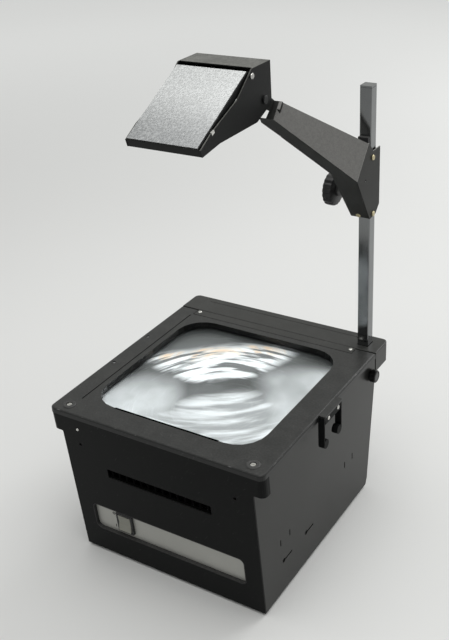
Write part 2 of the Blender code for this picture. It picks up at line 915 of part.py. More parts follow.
def build_front_fittings():
    """Grille behind the slot, and the control plate in its deep surround."""
    slot_half = (slot_high - slot_low) / 2 + mesh_margin
    width = slot_half_width + mesh_margin
    columns = int(slot_half_width / mesh_pitch)
    holes = []
    for column in range(-columns, columns + 1):
        x = column * mesh_pitch
        holes.append(rectangle(x - mesh_hole / 2, x + mesh_hole / 2, -mesh_hole_height / 2,
                               mesh_hole_height / 2))
    grille = outline_mesh("XZ", 0, mesh_thickness, rectangle(-width, width, -slot_half, slot_half), holes)
    leaning_part("slot_grille", root, grille, (slot_low + slot_high) / 2, thick_sheet + gap, DULL_BLACK)

    middle = (control_low + control_high) / 2
    half_height = (control_high - control_low) / 2 / math.cos(front_angle)
    outer_w = control_half_width - gap
    outer_h = half_height - gap
    inner_w = outer_w - bezel_wall
    inner_h = outer_h - bezel_wall
    inner_r = control_radius - gap - bezel_wall
    ring = rectangle(-outer_w, outer_w, -outer_h, outer_h, control_radius - gap)
    bore = rectangle(-inner_w, inner_w, -inner_h, inner_h, inner_r)
    surround = outline_mesh("XZ", 0, control_depth + sheet, ring, [bore])
    leaning_part("control_surround", root, surround, middle, 0, DULL_BLACK)
    window_w = rocker_half_width + rocker_side_play + switch_wall + gap
    window_h = rocker_half_height + rocker_play + switch_wall + gap
    shift = (switch_z - middle) / math.cos(front_angle)
    window = rectangle(switch_x - window_w, switch_x + window_w, shift - window_h, shift + window_h)
    face = rectangle(gap - inner_w, inner_w - gap, gap - inner_h, inner_h - gap, inner_r - gap)
    plate_mesh = outline_mesh("XZ", 0, sheet, face, [window])
    leaning_part("control_plate", root, plate_mesh, middle, control_depth, ((0.62, 0.62, 0.58), 0.4, 0.8))


def build_switch():
    """Open-fronted switch case and the rocker that tips in it."""
    bore_w = rocker_half_width + rocker_side_play
    bore_h = rocker_half_height + rocker_play
    outer_w = bore_w + switch_wall
    outer_h = bore_h + switch_wall
    rim = [
        rectangle(switch_x - outer_w - switch_rim, switch_x + outer_w + switch_rim,
                  -outer_h - switch_rim, outer_h + switch_rim, switch_rim),
    ]
    bore = rectangle(switch_x - bore_w, switch_x + bore_w, -bore_h, bore_h)
    case = rectangle(switch_x - outer_w, switch_x + outer_w, -outer_h, outer_h)
    body = new_object("switch_body", outline_mesh("XZ", -switch_rim_depth, -gap, rim[0], [bore]), parts)
    body.parent = root
    lean(body, switch_z, control_depth)
    pieces = (
        ("UNION", outline_mesh("XZ", -switch_rim_depth / 2, switch_depth, case, [bore])),
        ("UNION", block_mesh((switch_x - bore_w - gap, switch_depth - switch_wall, -bore_h - gap),
                             (switch_x + bore_w + gap, switch_depth, bore_h + gap))),
    )
    for operation, mesh in pieces:
        helper = tool(mesh)
        lean(helper, switch_z, control_depth)
        step = body.modifiers.new("case", "BOOLEAN")
        step.operation = operation
        step.object = helper
    paint(body, *DULL_BLACK)

    outline = [
        Vector((-rocker_front - rocker_dip, rocker_half_height)),
        Vector((-rocker_front, 0)),
        Vector((-rocker_front - rocker_dip, -rocker_half_height)),
        Vector((rocker_back, -rocker_half_height + rocker_dip)),
        Vector((rocker_back, rocker_half_height - rocker_dip)),
    ]
    mesh = outline_mesh("YZ", -rocker_half_width, rocker_half_width, outline)
    rocker = new_object("rocker", mesh, parts)
    rocker.parent = rocker_axis
    rocker.rotation_euler = (front_angle - math.radians(rocker_tilt), 0, 0)
    soften(rocker, rocker_side_play, 2)
    paint(rocker, (0.55, 0.53, 0.47), 0.45)


def build_side_panels():
    def build(side, side_name):
        rear_y = rear_reach - sheet - gap - gap
        rear_z = top_height - (rear_reach - rear_y) / rear_slope
        outline = [
            Vector((front_inside(base_low), base_low)),
            Vector((rear_edge(base_low) - chamfer_run, base_low)),
            Vector((rear_edge(base_low + chamfer_rise), base_low + chamfer_rise)),
            Vector((rear_y, rear_z)),
            Vector((rear_y, side_top)),
            Vector((notch_rear, side_top)),
            Vector((notch_rear, notch_low)),
            Vector((notch_front, notch_low)),
            Vector((notch_front, side_top)),
            Vector((front_inside(side_top), side_top)),
        ]
        holes = []
        for y in slit_places:
            half = slit_width / 2
            holes.append(rectangle(y - half, y + half, slit_z - slit_height / 2, slit_z + slit_height / 2))
        for front, rear in keyhole_places:
            holes.append(keyhole(front, rear, keyhole_z))
        if side > 0:
            holes.append(circle(post_y, clamp_z, clamp_shank_radius + running_play, small_steps))
        low, high = ordered(side * inner_half_width, side * body_half_width)
        look = WARM_BLACK if side > 0 else BLACK
        part("side_panel_" + side_name, root, outline_mesh("YZ", low, high, outline, holes), look)

    both_sides(build)


def build_rear_panel():
    """Leaning rear sheet with cooling slots and the inlet's window."""
    top = panel_top
    low = base_low + chamfer_rise

    def level(height):
        return -(top - height) / math.cos(rear_angle)

    outline = rectangle(-inside_half, inside_half, level(low), 0)
    holes = []
    for row in range(vent_slots):
        z = level(vent_z) + (row - (vent_slots - 1) / 2) * vent_pitch
        half = vent_height / 2
        holes.append(rectangle(-vent_half_length, vent_half_length, z - half, z + half, half * 0.9))
    window_w = inlet_half_width + inlet_wall + gap
    window_h = inlet_half_height + inlet_wall + gap
    middle = level(inlet_z)
    holes.append(rectangle(inlet_x - window_w, inlet_x + window_w, middle - window_h, middle + window_h))
    panel = new_object("rear_panel", outline_mesh("XZ", -thick_sheet, 0, outline, holes), parts)
    panel.parent = root
    panel.location = (0, rear_edge(top) - rear_inset, top)
    panel.rotation_euler = (-rear_angle, 0, 0)
    paint(panel, *BLACK)

    case_w = inlet_half_width + inlet_wall
    case_h = inlet_half_height + inlet_wall
    flange_w = case_w + inlet_flange
    flange_h = case_h + inlet_flange
    bore = rectangle(inlet_x - inlet_half_width, inlet_x + inlet_half_width,
                     middle - inlet_half_height, middle + inlet_half_height, inlet_wall)
    flange = rectangle(inlet_x - flange_w, inlet_x + flange_w, middle - flange_h, middle + flange_h,
                       inlet_wall)
    case = rectangle(inlet_x - case_w, inlet_x + case_w, middle - case_h, middle + case_h)
    inlet = new_object("mains_inlet", outline_mesh("XZ", gap, inlet_flange_depth, flange, [bore]), parts)
    meshes = [
        outline_mesh("XZ", -inlet_depth, inlet_flange_depth / 2, case, [bore]),
        block_mesh((inlet_x - case_w + gap, -inlet_depth, middle - case_h + gap),
                   (inlet_x + case_w - gap, inlet_floor - inlet_depth, middle + case_h - gap)),
    ]
    pins = ((-inlet_pin_spacing, -inlet_pin_rise / 2), (0, inlet_pin_rise / 2),
            (inlet_pin_spacing, -inlet_pin_rise / 2))
    for x, z in pins:
        meshes.append(block_mesh(
            (inlet_x + x - inlet_pin_half_width, -inlet_depth + gap, middle + z - inlet_pin_half_height),
            (inlet_x + x + inlet_pin_half_width, -inlet_wall, middle + z + inlet_pin_half_height)))
    inlet.parent = root
    inlet.location = panel.location
    inlet.rotation_euler = panel.rotation_euler
    for mesh in meshes:
        helper = tool(mesh)
        helper.location = panel.location
        helper.rotation_euler = panel.rotation_euler
        step = inlet.modifiers.new("join", "BOOLEAN")
        step.operation = "UNION"
        step.object = helper
    paint(inlet, *DULL_BLACK)


def build_rear_cover():
    """Fixed cover behind the hinge bar, with the post's hole and a scored joint line."""
    front = lid_rear + cover_gap
    low = top_height - cover_flange_height
    outer = rounded([
        (-lid_half_width, front, 0), (lid_half_width, front, 0),
        (lid_half_width, rear_reach, corner_radius), (-lid_half_width, rear_reach, corner_radius),
    ])
    inner_half = lid_half_width - sheet
    inner_rear = rear_reach - sheet
    inner = rounded([
        (-inner_half, front - sheet, 0), (inner_half, front - sheet, 0),
        (inner_half, inner_rear, corner_radius - sheet), (-inner_half, inner_rear, corner_radius - sheet),
    ])
    half = post_half + post_play
    hole = rectangle(post_x - half, post_x + half, post_y - half, post_y + half)
    body = rounded_top(outline_mesh("XY", low, top_height, outer), lid_edge_round / 2, 2)
    cover = part("rear_cover", root, body, WARM_BLACK)
    hollow = outline_mesh("XY", low - sheet, top_height - lid_plate, inner)
    bore = outline_mesh("XY", low, top_height + sheet, hole)
    across = Vector((1, 1)).normalized() * groove_depth
    turn = Vector((cover_line_right, cover_line_y))
    end = turn + Vector((cover_line_run, -cover_line_run))
    line = outline_mesh("XY", top_height - groove_depth, top_height + groove_depth, [
        Vector((cover_line_left, cover_line_y)), turn, end, end + across, turn + across,
        Vector((cover_line_left, cover_line_y + across.y)),
    ])
    cut(cover, hollow, bore, line)


# Stage lid and what it carries
def build_lid():
    front = -front_reach
    flange_low = top_height - lid_flange
    outer = rounded([
        (-lid_half_width, lid_rear, 0), (-lid_half_width, front, corner_radius),
        (lid_half_width, front, corner_radius), (lid_half_width, lid_rear, 0),
    ])
    inner_half = lid_half_width - sheet
    inner = rounded([
        (-inner_half, lid_rear + sheet, 0), (-inner_half, front + sheet, corner_radius - sheet),
        (inner_half, front + sheet, corner_radius - sheet), (inner_half, lid_rear + sheet, 0),
    ])
    body = rounded_top(outline_mesh("XY", flange_low, top_height, outer), lid_edge_round, 3)
    lid = part("stage_lid", lid_axis, body, BLACK)
    opening = (stage_y - stage_half, stage_y + stage_half)
    hollow = outline_mesh("XY", flange_low - sheet, top_height - lid_plate, inner)
    cut(lid, hollow)
    tab = rounded([
        (inner_half - sheet, tab_front, 0), (tab_reach, tab_front, thick_sheet),
        (tab_reach, tab_rear, thick_sheet), (inner_half - sheet, tab_rear, 0),
    ])
    tab_space = block_mesh((inner_half - sheet, tab_front, flange_low - sheet),
                           (lid_half_width + sheet, tab_rear, top_height - lid_plate + gap))
    cut(lid, tab_space)
    wall = rectangle(-stage_half - sheet, stage_half + sheet, opening[0] - sheet, opening[1] + sheet,
                     stage_radius + sheet)
    mouth = rectangle(-stage_half, stage_half, opening[0], opening[1], stage_radius)
    join(
        lid,
        outline_mesh("XY", top_height - lid_plate, top_height - gap, tab),
        outline_mesh("XY", top_height - rim_depth, top_height - lid_plate + gap, wall),
    )
    for side in (-1, 1):
        low, high = ordered(side * (bar_half_length + 2 * gap), side * (bar_half_length + lug_width))
        join(lid, block_mesh((low, lug_front, flange_low), (high, lid_rear, top_height - lid_plate + gap)))
    bar_space = block_mesh((-bar_half_length - 2 * gap, bar_front - bar_swing_play, flange_low - sheet),
                           (bar_half_length + 2 * gap, lid_rear + sheet, top_height + sheet))
    slit = block_mesh((worn_slit_low, opening[0] - worn_slit_width, top_height - lid_plate),
                      (worn_slit_high, opening[0] + worn_slit_width, top_height + sheet))
    groove = block_mesh((left_groove_x - groove_width / 2, left_groove_front, top_height - groove_depth),
                        (left_groove_x + groove_width / 2, left_groove_rear, top_height + sheet))
    cut(lid, outline_mesh("XY", flange_low - sheet, top_height + sheet, mouth), bar_space, slit, groove)
    reach = bar_half_length + lug_width
    pin_bore = rod_mesh("X", (0, hinge_y, hinge_z), -reach - sheet, reach + sheet,
                        hinge_pin_radius + running_play, small_steps)
    cut(lid, pin_bore)
    for y in peg_hole_places:
        cut(lid, rod_mesh("Z", (peg_hole_x, y, 0), flange_low, top_height + sheet, peg_hole_radius,
                          small_steps))
    for side in (-1, 1):
        cut(lid, rod_mesh("Z", (side * lid_screw_x, lid_screw_y, 0), flange_low, top_height + sheet,
                          washer_radius + gap, small_steps))


def build_stage_glass():
    def square(half, radius):
        return rectangle(-half, half, stage_y - half, stage_y + half, radius)

    glass = outline_mesh("XY", glass_low, glass_top, square(glass_half, glass_radius))
    part("stage_glass", lid_axis, glass, GLASS)
    fresnel = outline_mesh("XY", fresnel_low, glass_low - gap, square(glass_half, glass_radius))
    part("fresnel_lens", lid_axis, fresnel, ((0.8, 0.85, 0.85), 0.15, 0))
    outer = square(retainer_half, glass_radius + retainer_half - glass_half)
    bore = square(glass_half - retainer_lip, retainer_bore_radius)
    retainer = part("glass_retainer", lid_axis, outline_mesh("XY", retainer_low, glass_top, outer),
                    DULL_BLACK)
    seat = outline_mesh("XY", fresnel_low - gap, glass_top + sheet,
                        square(glass_half + gap, glass_radius + gap))
    cut(retainer, seat, outline_mesh("XY", retainer_low - sheet, glass_top, bore))


def build_lid_screws():
    """Captive screw in a dark cup washer at each front corner of the lid, and the block it enters."""
    def build(side, side_name):
        place = (side * lid_screw_x, lid_screw_y, 0)
        bore = screw_shank_radius + running_play
        top = top_height + washer_height
        low = top_height - lid_plate
        seat = top_height - washer_height
        profile = [
            (bore, low), (bore, seat), (screw_head_radius + gap, seat), (screw_head_radius + gap + gap,
                                                                         top),
            (washer_flange - washer_height, top), (washer_flange, top_height + gap),
            (washer_radius, top_height + gap), (washer_radius, low), (bore, low),
        ]
        turned("cup_washer_" + side_name, lid_axis, "Z", place, profile, DULL_BLACK, small_steps)
        head_low = seat + running_play
        head_top = head_low + screw_head_height
        tip = low - lid_shank_length
        profile = [
            (0, head_top), (screw_head_radius - gap, head_top), (screw_head_radius, head_top - gap),
            (screw_head_radius, head_low), (screw_shank_radius, head_low),
            (screw_shank_radius, tip + gap), (screw_shank_radius - gap, tip), (0, tip),
        ]
        screw = turned("lid_screw_" + side_name, lid_axis, "Z", place, profile, BRIGHT, small_steps)
        slot_half = gap + gap
        cut(screw, block_mesh((place[0] - screw_head_radius - gap, lid_screw_y - slot_half,
                               head_top - slot_half),
                              (place[0] + screw_head_radius + gap, lid_screw_y + slot_half,
                               head_top + slot_half)))
        outer_x = inside_half
        low_x, high_x = ordered(side * (outer_x - block_width), side * outer_x)
        top = side_top
        bottom = top - block_height
        front = front_inside(bottom)
        block = part("corner_block_" + side_name, root,
                     block_mesh((low_x, front, bottom), (high_x, front + block_length, top)), GALVANISED)
        cut(block, rod_mesh("Z", (place[0], lid_screw_y, 0), bottom - sheet, top + sheet,
                            screw_shank_radius + block_bore_play, small_steps))

    both_sides(build)


def build_hinge_bar():
    """Fixed bar between the lid's ears, on a rail that joins the side panels."""
    low = top_height - bar_depth
    bar = part("hinge_bar", root, block_mesh((-bar_half_length, bar_front, low),
                                             (bar_half_length, bar_rear, top_height)), WARM_BLACK)
    soften(bar, gap, 2)
    for side in (-1, 1):
        cut(bar, rod_mesh("X", (0, hinge_y, hinge_z),
                          *ordered(side * (bar_half_length - lug_width), side * (bar_half_length + sheet)),
                          hinge_pin_radius + running_play, small_steps))

    def build(side, side_name):
        ends = ordered(side * (bar_half_length - lug_width + sheet),
                       side * (bar_half_length + lug_width - gap))
        pin = rod_mesh("X", (0, hinge_y, hinge_z), *ends, hinge_pin_radius, small_steps)
        part("hinge_pin_" + side_name, root, pin, BRIGHT)

    both_sides(build)
    rail_top = low - gap
    rail_rear = post_y - post_half - gap - socket_wall - gap
    rail_low = rail_top - rail_depth
    end_top = rail_top - rail_drop + rail_depth
    end_low = end_top - rail_depth - sheet
    step_x = bar_half_length + gap
    outline = [
        Vector((-inside_half, end_low)), Vector((inside_half, end_low)), Vector((inside_half, end_top)),
        Vector((step_x, end_top)), Vector((step_x, rail_top)), Vector((-step_x, rail_top)),
        Vector((-step_x, end_top)), Vector((-inside_half, end_top)),
    ]
    part("rear_rail", root, outline_mesh("XZ", bar_front, rail_rear, outline), GALVANISED)


def build_roll_bracket():
    """Sheet hanger under the tab, with two arms that end in round feet."""
    top = top_height - lid_plate - gap
    low = top - sheet
    inner = bracket_inner_x - thick_sheet
    bracket = part("roll_bracket", lid_axis,
                   block_mesh((inner, tab_front, low), (tab_reach - thick_sheet, tab_rear, top)), BLACK)
    for y, toward in ((tab_front, 1), (tab_rear, -1)):
        arm = [
            Vector((bracket_inner_x, top - gap)), Vector((bracket_outer_x, top - gap)),
            Vector((bracket_outer_x, bracket_low)), Vector((bracket_inner_x, bracket_low)),
        ]
        near, far = ordered(y, y + toward * sheet)
        join(bracket, outline_mesh("XZ", near, far, arm))
        foot = rod_mesh("X", (0, y + toward * bracket_foot_offset, bracket_low), bracket_inner_x + gap,
                        bracket_outer_x - gap, bracket_foot_radius, small_steps)
        join(bracket, foot)


# Post, its socket and the clamp
def build_post():
    outer = rectangle(post_x - post_half, post_x + post_half, post_y - post_half, post_y + post_half,
                      post_radius)
    inner_half = post_half - post_wall
    bore = rectangle(post_x - inner_half, post_x + inner_half, post_y - inner_half, post_y + inner_half)
    part("post", post_slide, outline_mesh("XY", post_low, post_high, outer, [bore]), CHROME)
    cap_low = post_high + gap
    cap = part("post_cap", post_slide, outline_mesh("XY", cap_low, cap_low + cap_height, outer), DULL_BLACK)
    plug = inner_half - gap
    join(cap, block_mesh((post_x - plug, post_y - plug, post_high - cap_plug),
                         (post_x + plug, post_y + plug, cap_low + gap)))

    left = post_x - post_half - gap
    front = post_y - post_half - gap
    rear = post_y + post_half + gap
    right = inside_half
    socket = [
        Vector((right, front - socket_wall)), Vector((right, front)), Vector((left,
                                                                              front)), Vector((left, rear)),
        Vector((right, rear)), Vector((right, rear + socket_wall)), Vector((left - socket_wall,
                                                                            rear + socket_wall)),
        Vector((left - socket_wall, front - socket_wall)),
    ]
    part("post_socket", root, outline_mesh("XY", socket_low, socket_high, socket), GALVANISED)

    start = body_half_width + gap
    end = start + clamp_length
    profile = [
        (0, end - clamp_rim), (clamp_radius - clamp_rim, end - clamp_rim), (clamp_radius - clamp_rim, end),
        (clamp_radius, end - clamp_rim), (clamp_radius, start + sheet), (clamp_radius - sheet, start),
        (clamp_shank_radius, start), (clamp_shank_radius, inner_half_width + running_play),
        (0, inner_half_width + running_play),
    ]
    shifted = [(radius, level - body_half_width) for radius, level in profile]
    turned("clamp_knob", clamp_axis, "X", clamp_axis["place"], shifted, DULL_BLACK, small_steps)


# Carriage, arm and focus drive
def sheet_slab(points):
    """Flat slab just under a ring of points that runs against the clock as seen from below."""
    corners = [Vector(point) for point in points]
    inward = (corners[1] - corners[0]).cross(corners[2] - corners[1]).normalized()
    if inward.z > 0:
        inward = -inward
    return hull_mesh([corner + inward * depth for corner in corners for depth in (fold_play, sheet)])


def build_arm():
    """Folded sheet: right cheek, sloping top and front, ending in a tongue in the head."""
    cheek = [
        Vector((cheek_top_y, cheek_top_z)), Vector((nose_y, nose_z)), Vector((cheek_toe_y, cheek_toe_z)),
        Vector((cheek_heel_y, cheek_heel_z)), Vector((cheek_rear_y, cheek_rear_low)),
        Vector((cheek_rear_y, cheek_rear_high)), Vector((cheek_dip_y, cheek_dip_z)),
        Vector((cheek_top_y + thick_sheet, cheek_top_z)),
    ]
    inner_x = cheek_outer_x - sheet
    arm = part("arm", carriage_slide, outline_mesh("YZ", inner_x, cheek_outer_x, cheek), WARM_BLACK)

    top = sheet_slab([
        (arm_end_x, arm_end_rear_y, arm_end_rear_z), (arm_end_x, arm_end_front_y, arm_end_front_z),
        (cheek_outer_x - gap, nose_y, nose_z), (cheek_outer_x - gap, cheek_top_y, cheek_top_z),
    ])

    down = Vector((0, cheek_toe_y - nose_y, cheek_toe_z - nose_z)).normalized()
    inward = Vector((0, -down.z, down.y))

    def on_front(x, y):
        return Vector((x, y, nose_z + (y - nose_y) * down.z / down.y))

    def fold_point(x, drop):
        """Place on the front strip, at a drop below the fold between the nose and the arm's end."""
        share = (cheek_outer_x - x) / (cheek_outer_x - arm_end_x)
        nose = Vector((cheek_outer_x, nose_y, nose_z))
        end = Vector((arm_end_x, arm_end_front_y, arm_end_front_z))
        return nose.lerp(end, share) + down * drop

    inner_edge = cheek_outer_x - gap
    upper = [
        fold_point(inner_edge, gap), fold_point(arm_end_x, gap),
        fold_point(arm_end_x, arm_strip), fold_point(inner_edge, arm_strip),
    ]
    elbow_y = nose_y + (bracket_left_elbow_z - nose_z) * down.y / down.z
    lower = [
        fold_point(inner_edge, gap + gap), fold_point(strip_elbow_x, arm_strip - gap),
        on_front(bracket_left_x, elbow_y), on_front(bracket_left_x, cheek_toe_y - gap),
        on_front(inner_edge, cheek_toe_y - gap),
    ]

    def front_slab(points, inset=0):
        levels = (fold_play + inset, sheet - inset)
        return hull_mesh([point + inward * depth for point in points for depth in levels])

    bridge_y = head_pivot_y + bridge_clear
    slope = Vector((arm_end_rear_y - arm_end_front_y, arm_end_rear_z - arm_end_front_z)).normalized()
    start = Vector((arm_end_front_y, arm_end_front_z))
    first = start + slope * ((bridge_y - arm_end_front_y) / slope.x)
    last = Vector((arm_end_rear_y, arm_end_rear_z)) - slope * gap
    drop = Vector((slope.y, -slope.x)) * bridge_depth
    bridge = [first, last, last + drop, Vector((bridge_y, (first + drop).y))]
    inner_plate = head_half_width - sheet - gap
    bridge_mesh = outline_mesh("YZ", inner_plate - tongue_thickness, arm_end_x + bridge_overlap, bridge)
    tongue = []
    for step in range(corner_steps * 2 + 1):
        angle = math.radians(tongue_start_angle) + math.pi * step / (corner_steps * 2)
        tongue.append(Vector((head_pivot_y + tongue_radius * math.cos(angle),
                              head_pivot_z + tongue_radius * math.sin(angle))))
    tongue += [Vector((bridge_y + sheet, (first + drop).y)), last + drop / 2, last]
    tongue_mesh = outline_mesh("YZ", inner_plate - tongue_thickness, inner_plate, tongue)
    tail_x = head_half_width - arm_tail_lead
    tail = [
        fold_point(arm_end_x + gap, gap + gap), fold_point(arm_end_x + gap, arm_strip - gap),
        Vector((tail_x, head_pivot_y + arm_tail_lower_trail, head_pivot_z - arm_tail_lower_drop)),
        Vector((tail_x, head_pivot_y + arm_tail_upper_trail, head_pivot_z - arm_tail_upper_drop)),
    ]
    crook = sheet_slab([
        (arm_end_x + gap, arm_end_rear_y - gap, arm_end_rear_z - gap),
        (arm_end_x + gap, arm_end_front_y, arm_end_front_z),
        (head_half_width - arm_toe_lead, head_pivot_y + arm_toe_trail, head_pivot_z - arm_toe_drop),
        (head_half_width - arm_crook_lead, head_pivot_y + arm_crook_trail, head_pivot_z - arm_crook_drop),
    ])
    join(
        arm, top, front_slab(upper), front_slab(lower, fold_play), bridge_mesh, tongue_mesh,
        front_slab(tail, fold_play + fold_play), crook,
    )
    cut(arm, rod_mesh("X", (0, head_pivot_y, head_pivot_z), inner_plate - tongue_thickness - sheet,
                      inner_plate + sheet, head_bolt_radius + turning_play, small_steps))
    cut(arm, rod_mesh("X", (0, cheek_hole_y, cheek_hole_z), inner_x - sheet, cheek_outer_x + sheet,
                      cheek_hole_radius, small_steps))
    for y, z in bracket_screw_places:
        cut(arm, rod_mesh("X", (0, y, z), inner_x - sheet, cheek_outer_x + sheet,
                          screw_shank_radius + running_play, small_steps))


def build_carriage():
    """Left cheek and rear web behind the post, the guide shoe before it, and the screws."""
    rear_inner = post_y + post_half + post_play
    left_inner = web_left_x + web_thickness
    right_inner = cheek_outer_x - sheet - gap
    down_share = (cheek_toe_y - nose_y) / (nose_z - cheek_toe_z)

    def front_y(height):
        return nose_y + (nose_z - height) * down_share + sheet * 2

    outline = [
        Vector((front_y(web_low), web_low)), Vector((rear_inner + web_thickness, web_low)),
        Vector((rear_inner + web_thickness, web_high)), Vector((cheek_dip_y, web_high)),
        Vector((front_y(bracket_left_elbow_z), bracket_left_elbow_z)),
    ]
    bracket = part("carriage_bracket", carriage_slide,
                   outline_mesh("YZ", web_left_x, left_inner, outline), WARM_BLACK)
    join(bracket, block_mesh((web_left_x + gap, rear_inner, web_low + fold_play),
                             (right_inner, rear_inner + web_thickness - fold_play, web_high - fold_play)))
    cut(bracket, rod_mesh("X", (0, focus_y, focus_z), web_left_x - sheet, left_inner + sheet,
                          focus_shaft_radius + focus_bush_play, small_steps))
    for y, z in bracket_screw_places:
        cut(bracket, rod_mesh("X", (0, y, z), web_left_x - sheet, left_inner + sheet,
                              screw_shank_radius + running_play, small_steps))

    shoe_rear = post_y - post_half - gap
    left = left_inner + gap
    outline = [
        Vector((left, shoe_low)), Vector((right_inner, shoe_low)), Vector((right_inner, shoe_shoulder)),
        Vector((shoe_right_x, shoe_shoulder)), Vector((shoe_right_x, shoe_high)),
        Vector((shoe_left_x, shoe_high)), Vector((shoe_left_x, shoe_shoulder)), Vector((left,
                                                                                        shoe_shoulder)),
    ]
    shoe = part("guide_shoe", carriage_slide,
                outline_mesh("XZ", shoe_rear - shoe_depth, shoe_rear, outline), DULL_BLACK)
    soften(shoe, gap, 2)


def build_focus():
    """Friction roller shaft against the post's front face, with a fluted knob on its left end."""
    shaft_end = cheek_outer_x - sheet - gap
    roller = (post_x - post_half + post_radius, post_x + post_half - post_radius)
    profile = [
        (0, shaft_end), (focus_shaft_radius - gap, shaft_end), (focus_shaft_radius, shaft_end - gap),
        (focus_shaft_radius, roller[1]), (roller_radius, roller[1]), (roller_radius, roller[0]),
        (focus_shaft_radius, roller[0]), (focus_shaft_radius, focus_knob_x + sheet), (0,
                                                                                      focus_knob_x + sheet),
    ]
    local = [(radius, level - focus_knob_x) for radius, level in profile]
    turned("focus_shaft", focus_axis, "X", focus_axis["place"], local, BRIGHT, small_steps)
    bore = focus_shaft_radius + running_play
    rim = focus_knob_length - sheet
    profile = [
        (0, sheet - gap), (bore, sheet - gap), (bore, focus_knob_length), (knob_boss_radius,
                                                                           focus_knob_length),
        (knob_boss_radius, rim), (focus_knob_radius - sheet, rim), (focus_knob_radius, rim - sheet),
        (focus_knob_radius, sheet), (focus_knob_radius - sheet, 0), (0, 0),
    ]
    turned("focus_knob", focus_axis, "X", focus_axis["place"], profile, DULL_BLACK)


def build_head():
    """Open-fronted head: roof, side plates, rear wall, lens floor and front lip."""
    side = [Vector((head_lip_high_y, head_lip_high_z))]
    side += [Vector(point) for point in side_edge_points]
    side += [
        Vector((head_rear_top_y, roof_top_z)), Vector((head_rear_low_y, head_rear_low_z)),
        Vector((head_floor_rear_y, head_floor_z)), Vector((head_floor_front_y, head_floor_z)),
        Vector((head_lip_low_y, head_lip_low_z)),
    ]
    inner = head_half_width - sheet
    housing = part("head_housing", head_axis, outline_mesh("YZ", -head_half_width, -inner, side), BLACK)
    wide = head_half_width - gap
    lip_direction = Vector((head_lip_high_y - head_lip_low_y,
                            head_lip_high_z - head_lip_low_z)).normalized()
    lip_normal = Vector((lip_direction.y, -lip_direction.x)) * sheet
    low = Vector((head_lip_low_y, head_lip_low_z))
    high = Vector((head_lip_high_y, head_lip_high_z))
    floor_front = Vector((head_floor_front_y, head_floor_z))
    rear = sheet * (head_rear_low_y - head_rear_top_y) / (roof_top_z - head_rear_low_z)
    join(
        housing,
        outline_mesh("YZ", inner, head_half_width, side),
        outline_mesh("YZ", -wide, wide, [
            Vector((roof_front_y, roof_top_z - sheet)), Vector((head_rear_top_y, roof_top_z - sheet)),
            Vector((head_rear_top_y, roof_top_z - running_play)), Vector((roof_front_y,
                                                                          roof_top_z - running_play)),
        ]),
        outline_mesh("YZ", -wide, rear_wall_right_x, [
            Vector((head_rear_top_y - sheet, roof_top_z - running_play - gap)),
            Vector((head_rear_low_y - sheet, head_rear_low_z + rear)),
            Vector((head_rear_low_y - running_play, head_rear_low_z + rear)),
            Vector((head_rear_top_y - running_play, roof_top_z - running_play - gap)),
        ]),
        outline_mesh("YZ", -wide, wide, [
            Vector((head_floor_rear_y - gap, head_floor_z + running_play)),
            Vector((head_floor_rear_y - gap, head_floor_z + sheet)),
            Vector((head_floor_front_y, head_floor_z + sheet)),
            low + Vector((lip_normal.x, sheet + running_play)), low + Vector((gap, running_play)),
            floor_front + Vector((0, running_play)),
        ]),
        outline_mesh("YZ", -wide, wide, [
            low + Vector((gap, running_play)), low + lip_normal + Vector((0, gap)),
            high + lip_normal - Vector((0, gap)), high + Vector((gap, -gap)),
        ]),
    )
    bolt_bore = head_bolt_radius + running_play
    cut(
        housing,
        rod_mesh("Z", (0, lens_y, 0), head_floor_z - sheet, head_floor_z + thick_sheet + sheet,
                 lens_hole_radius),
        rod_mesh("X", (0, head_pivot_y, head_pivot_z), inner - sheet, head_half_width + sheet,
                 bolt_bore, small_steps),
    )
    screw_bore = hinge_screw_shank + running_play
    cut(housing, rod_mesh("X", (0, cover_axis_y, cover_axis_z), -head_half_width - sheet,
                          head_half_width + sheet,
                          screw_bore, small_steps))


def build_objective():
    floor = head_floor_z + sheet + gap
    bore = barrel_outer_radius - barrel_wall
    profile = [
        (lens_hole_radius - sheet, floor), (lens_hole_radius - sheet, floor + sheet), (bore, floor + sheet),
        (bore, floor + barrel_height), (barrel_outer_radius, floor + barrel_height),
        (barrel_outer_radius, floor + sheet), (barrel_flange_radius, floor + sheet),
        (barrel_flange_radius, floor), (lens_hole_radius - sheet, floor),
    ]
    turned("objective_barrel", head_axis, "Z", (0, lens_y, 0), profile, DULL_BLACK)
    low = floor + sheet + gap
    edge = low + objective_edge
    profile = dome_profile(objective_radius, edge, objective_dome) + [(objective_radius, low), (0, low)]
    turned("objective_lens", head_axis, "Z", (0, lens_y, 0), profile, GLASS)


def dome_profile(radius, edge, rise):
    """Points of a lens dome from its crown down to its edge."""
    sphere = (radius * radius + rise * rise) / (2 * rise)
    points = []
    for step in range(corner_steps + 2):
        share = step / (corner_steps + 1)
        r = radius * share
        points.append((r, edge + rise - sphere + math.sqrt(sphere * sphere - r * r)))
    return points


def on_cover(u, w):
    """Place of a point on the cover's own slope, as Y and Z."""
    slope = math.radians(cover_slope)
    along = Vector((-math.cos(slope), -math.sin(slope)))
    up = Vector((-math.sin(slope), math.cos(slope)))
    return Vector((cover_axis_y, cover_axis_z)) + along * u + up * w


def cover_slab(width, start, end, low, high):
    """Flat slab across the head on the cover's slope."""
    return outline_mesh("YZ", -width, width, [
        on_cover(start, low), on_cover(end, low), on_cover(end, high), on_cover(start, high)])


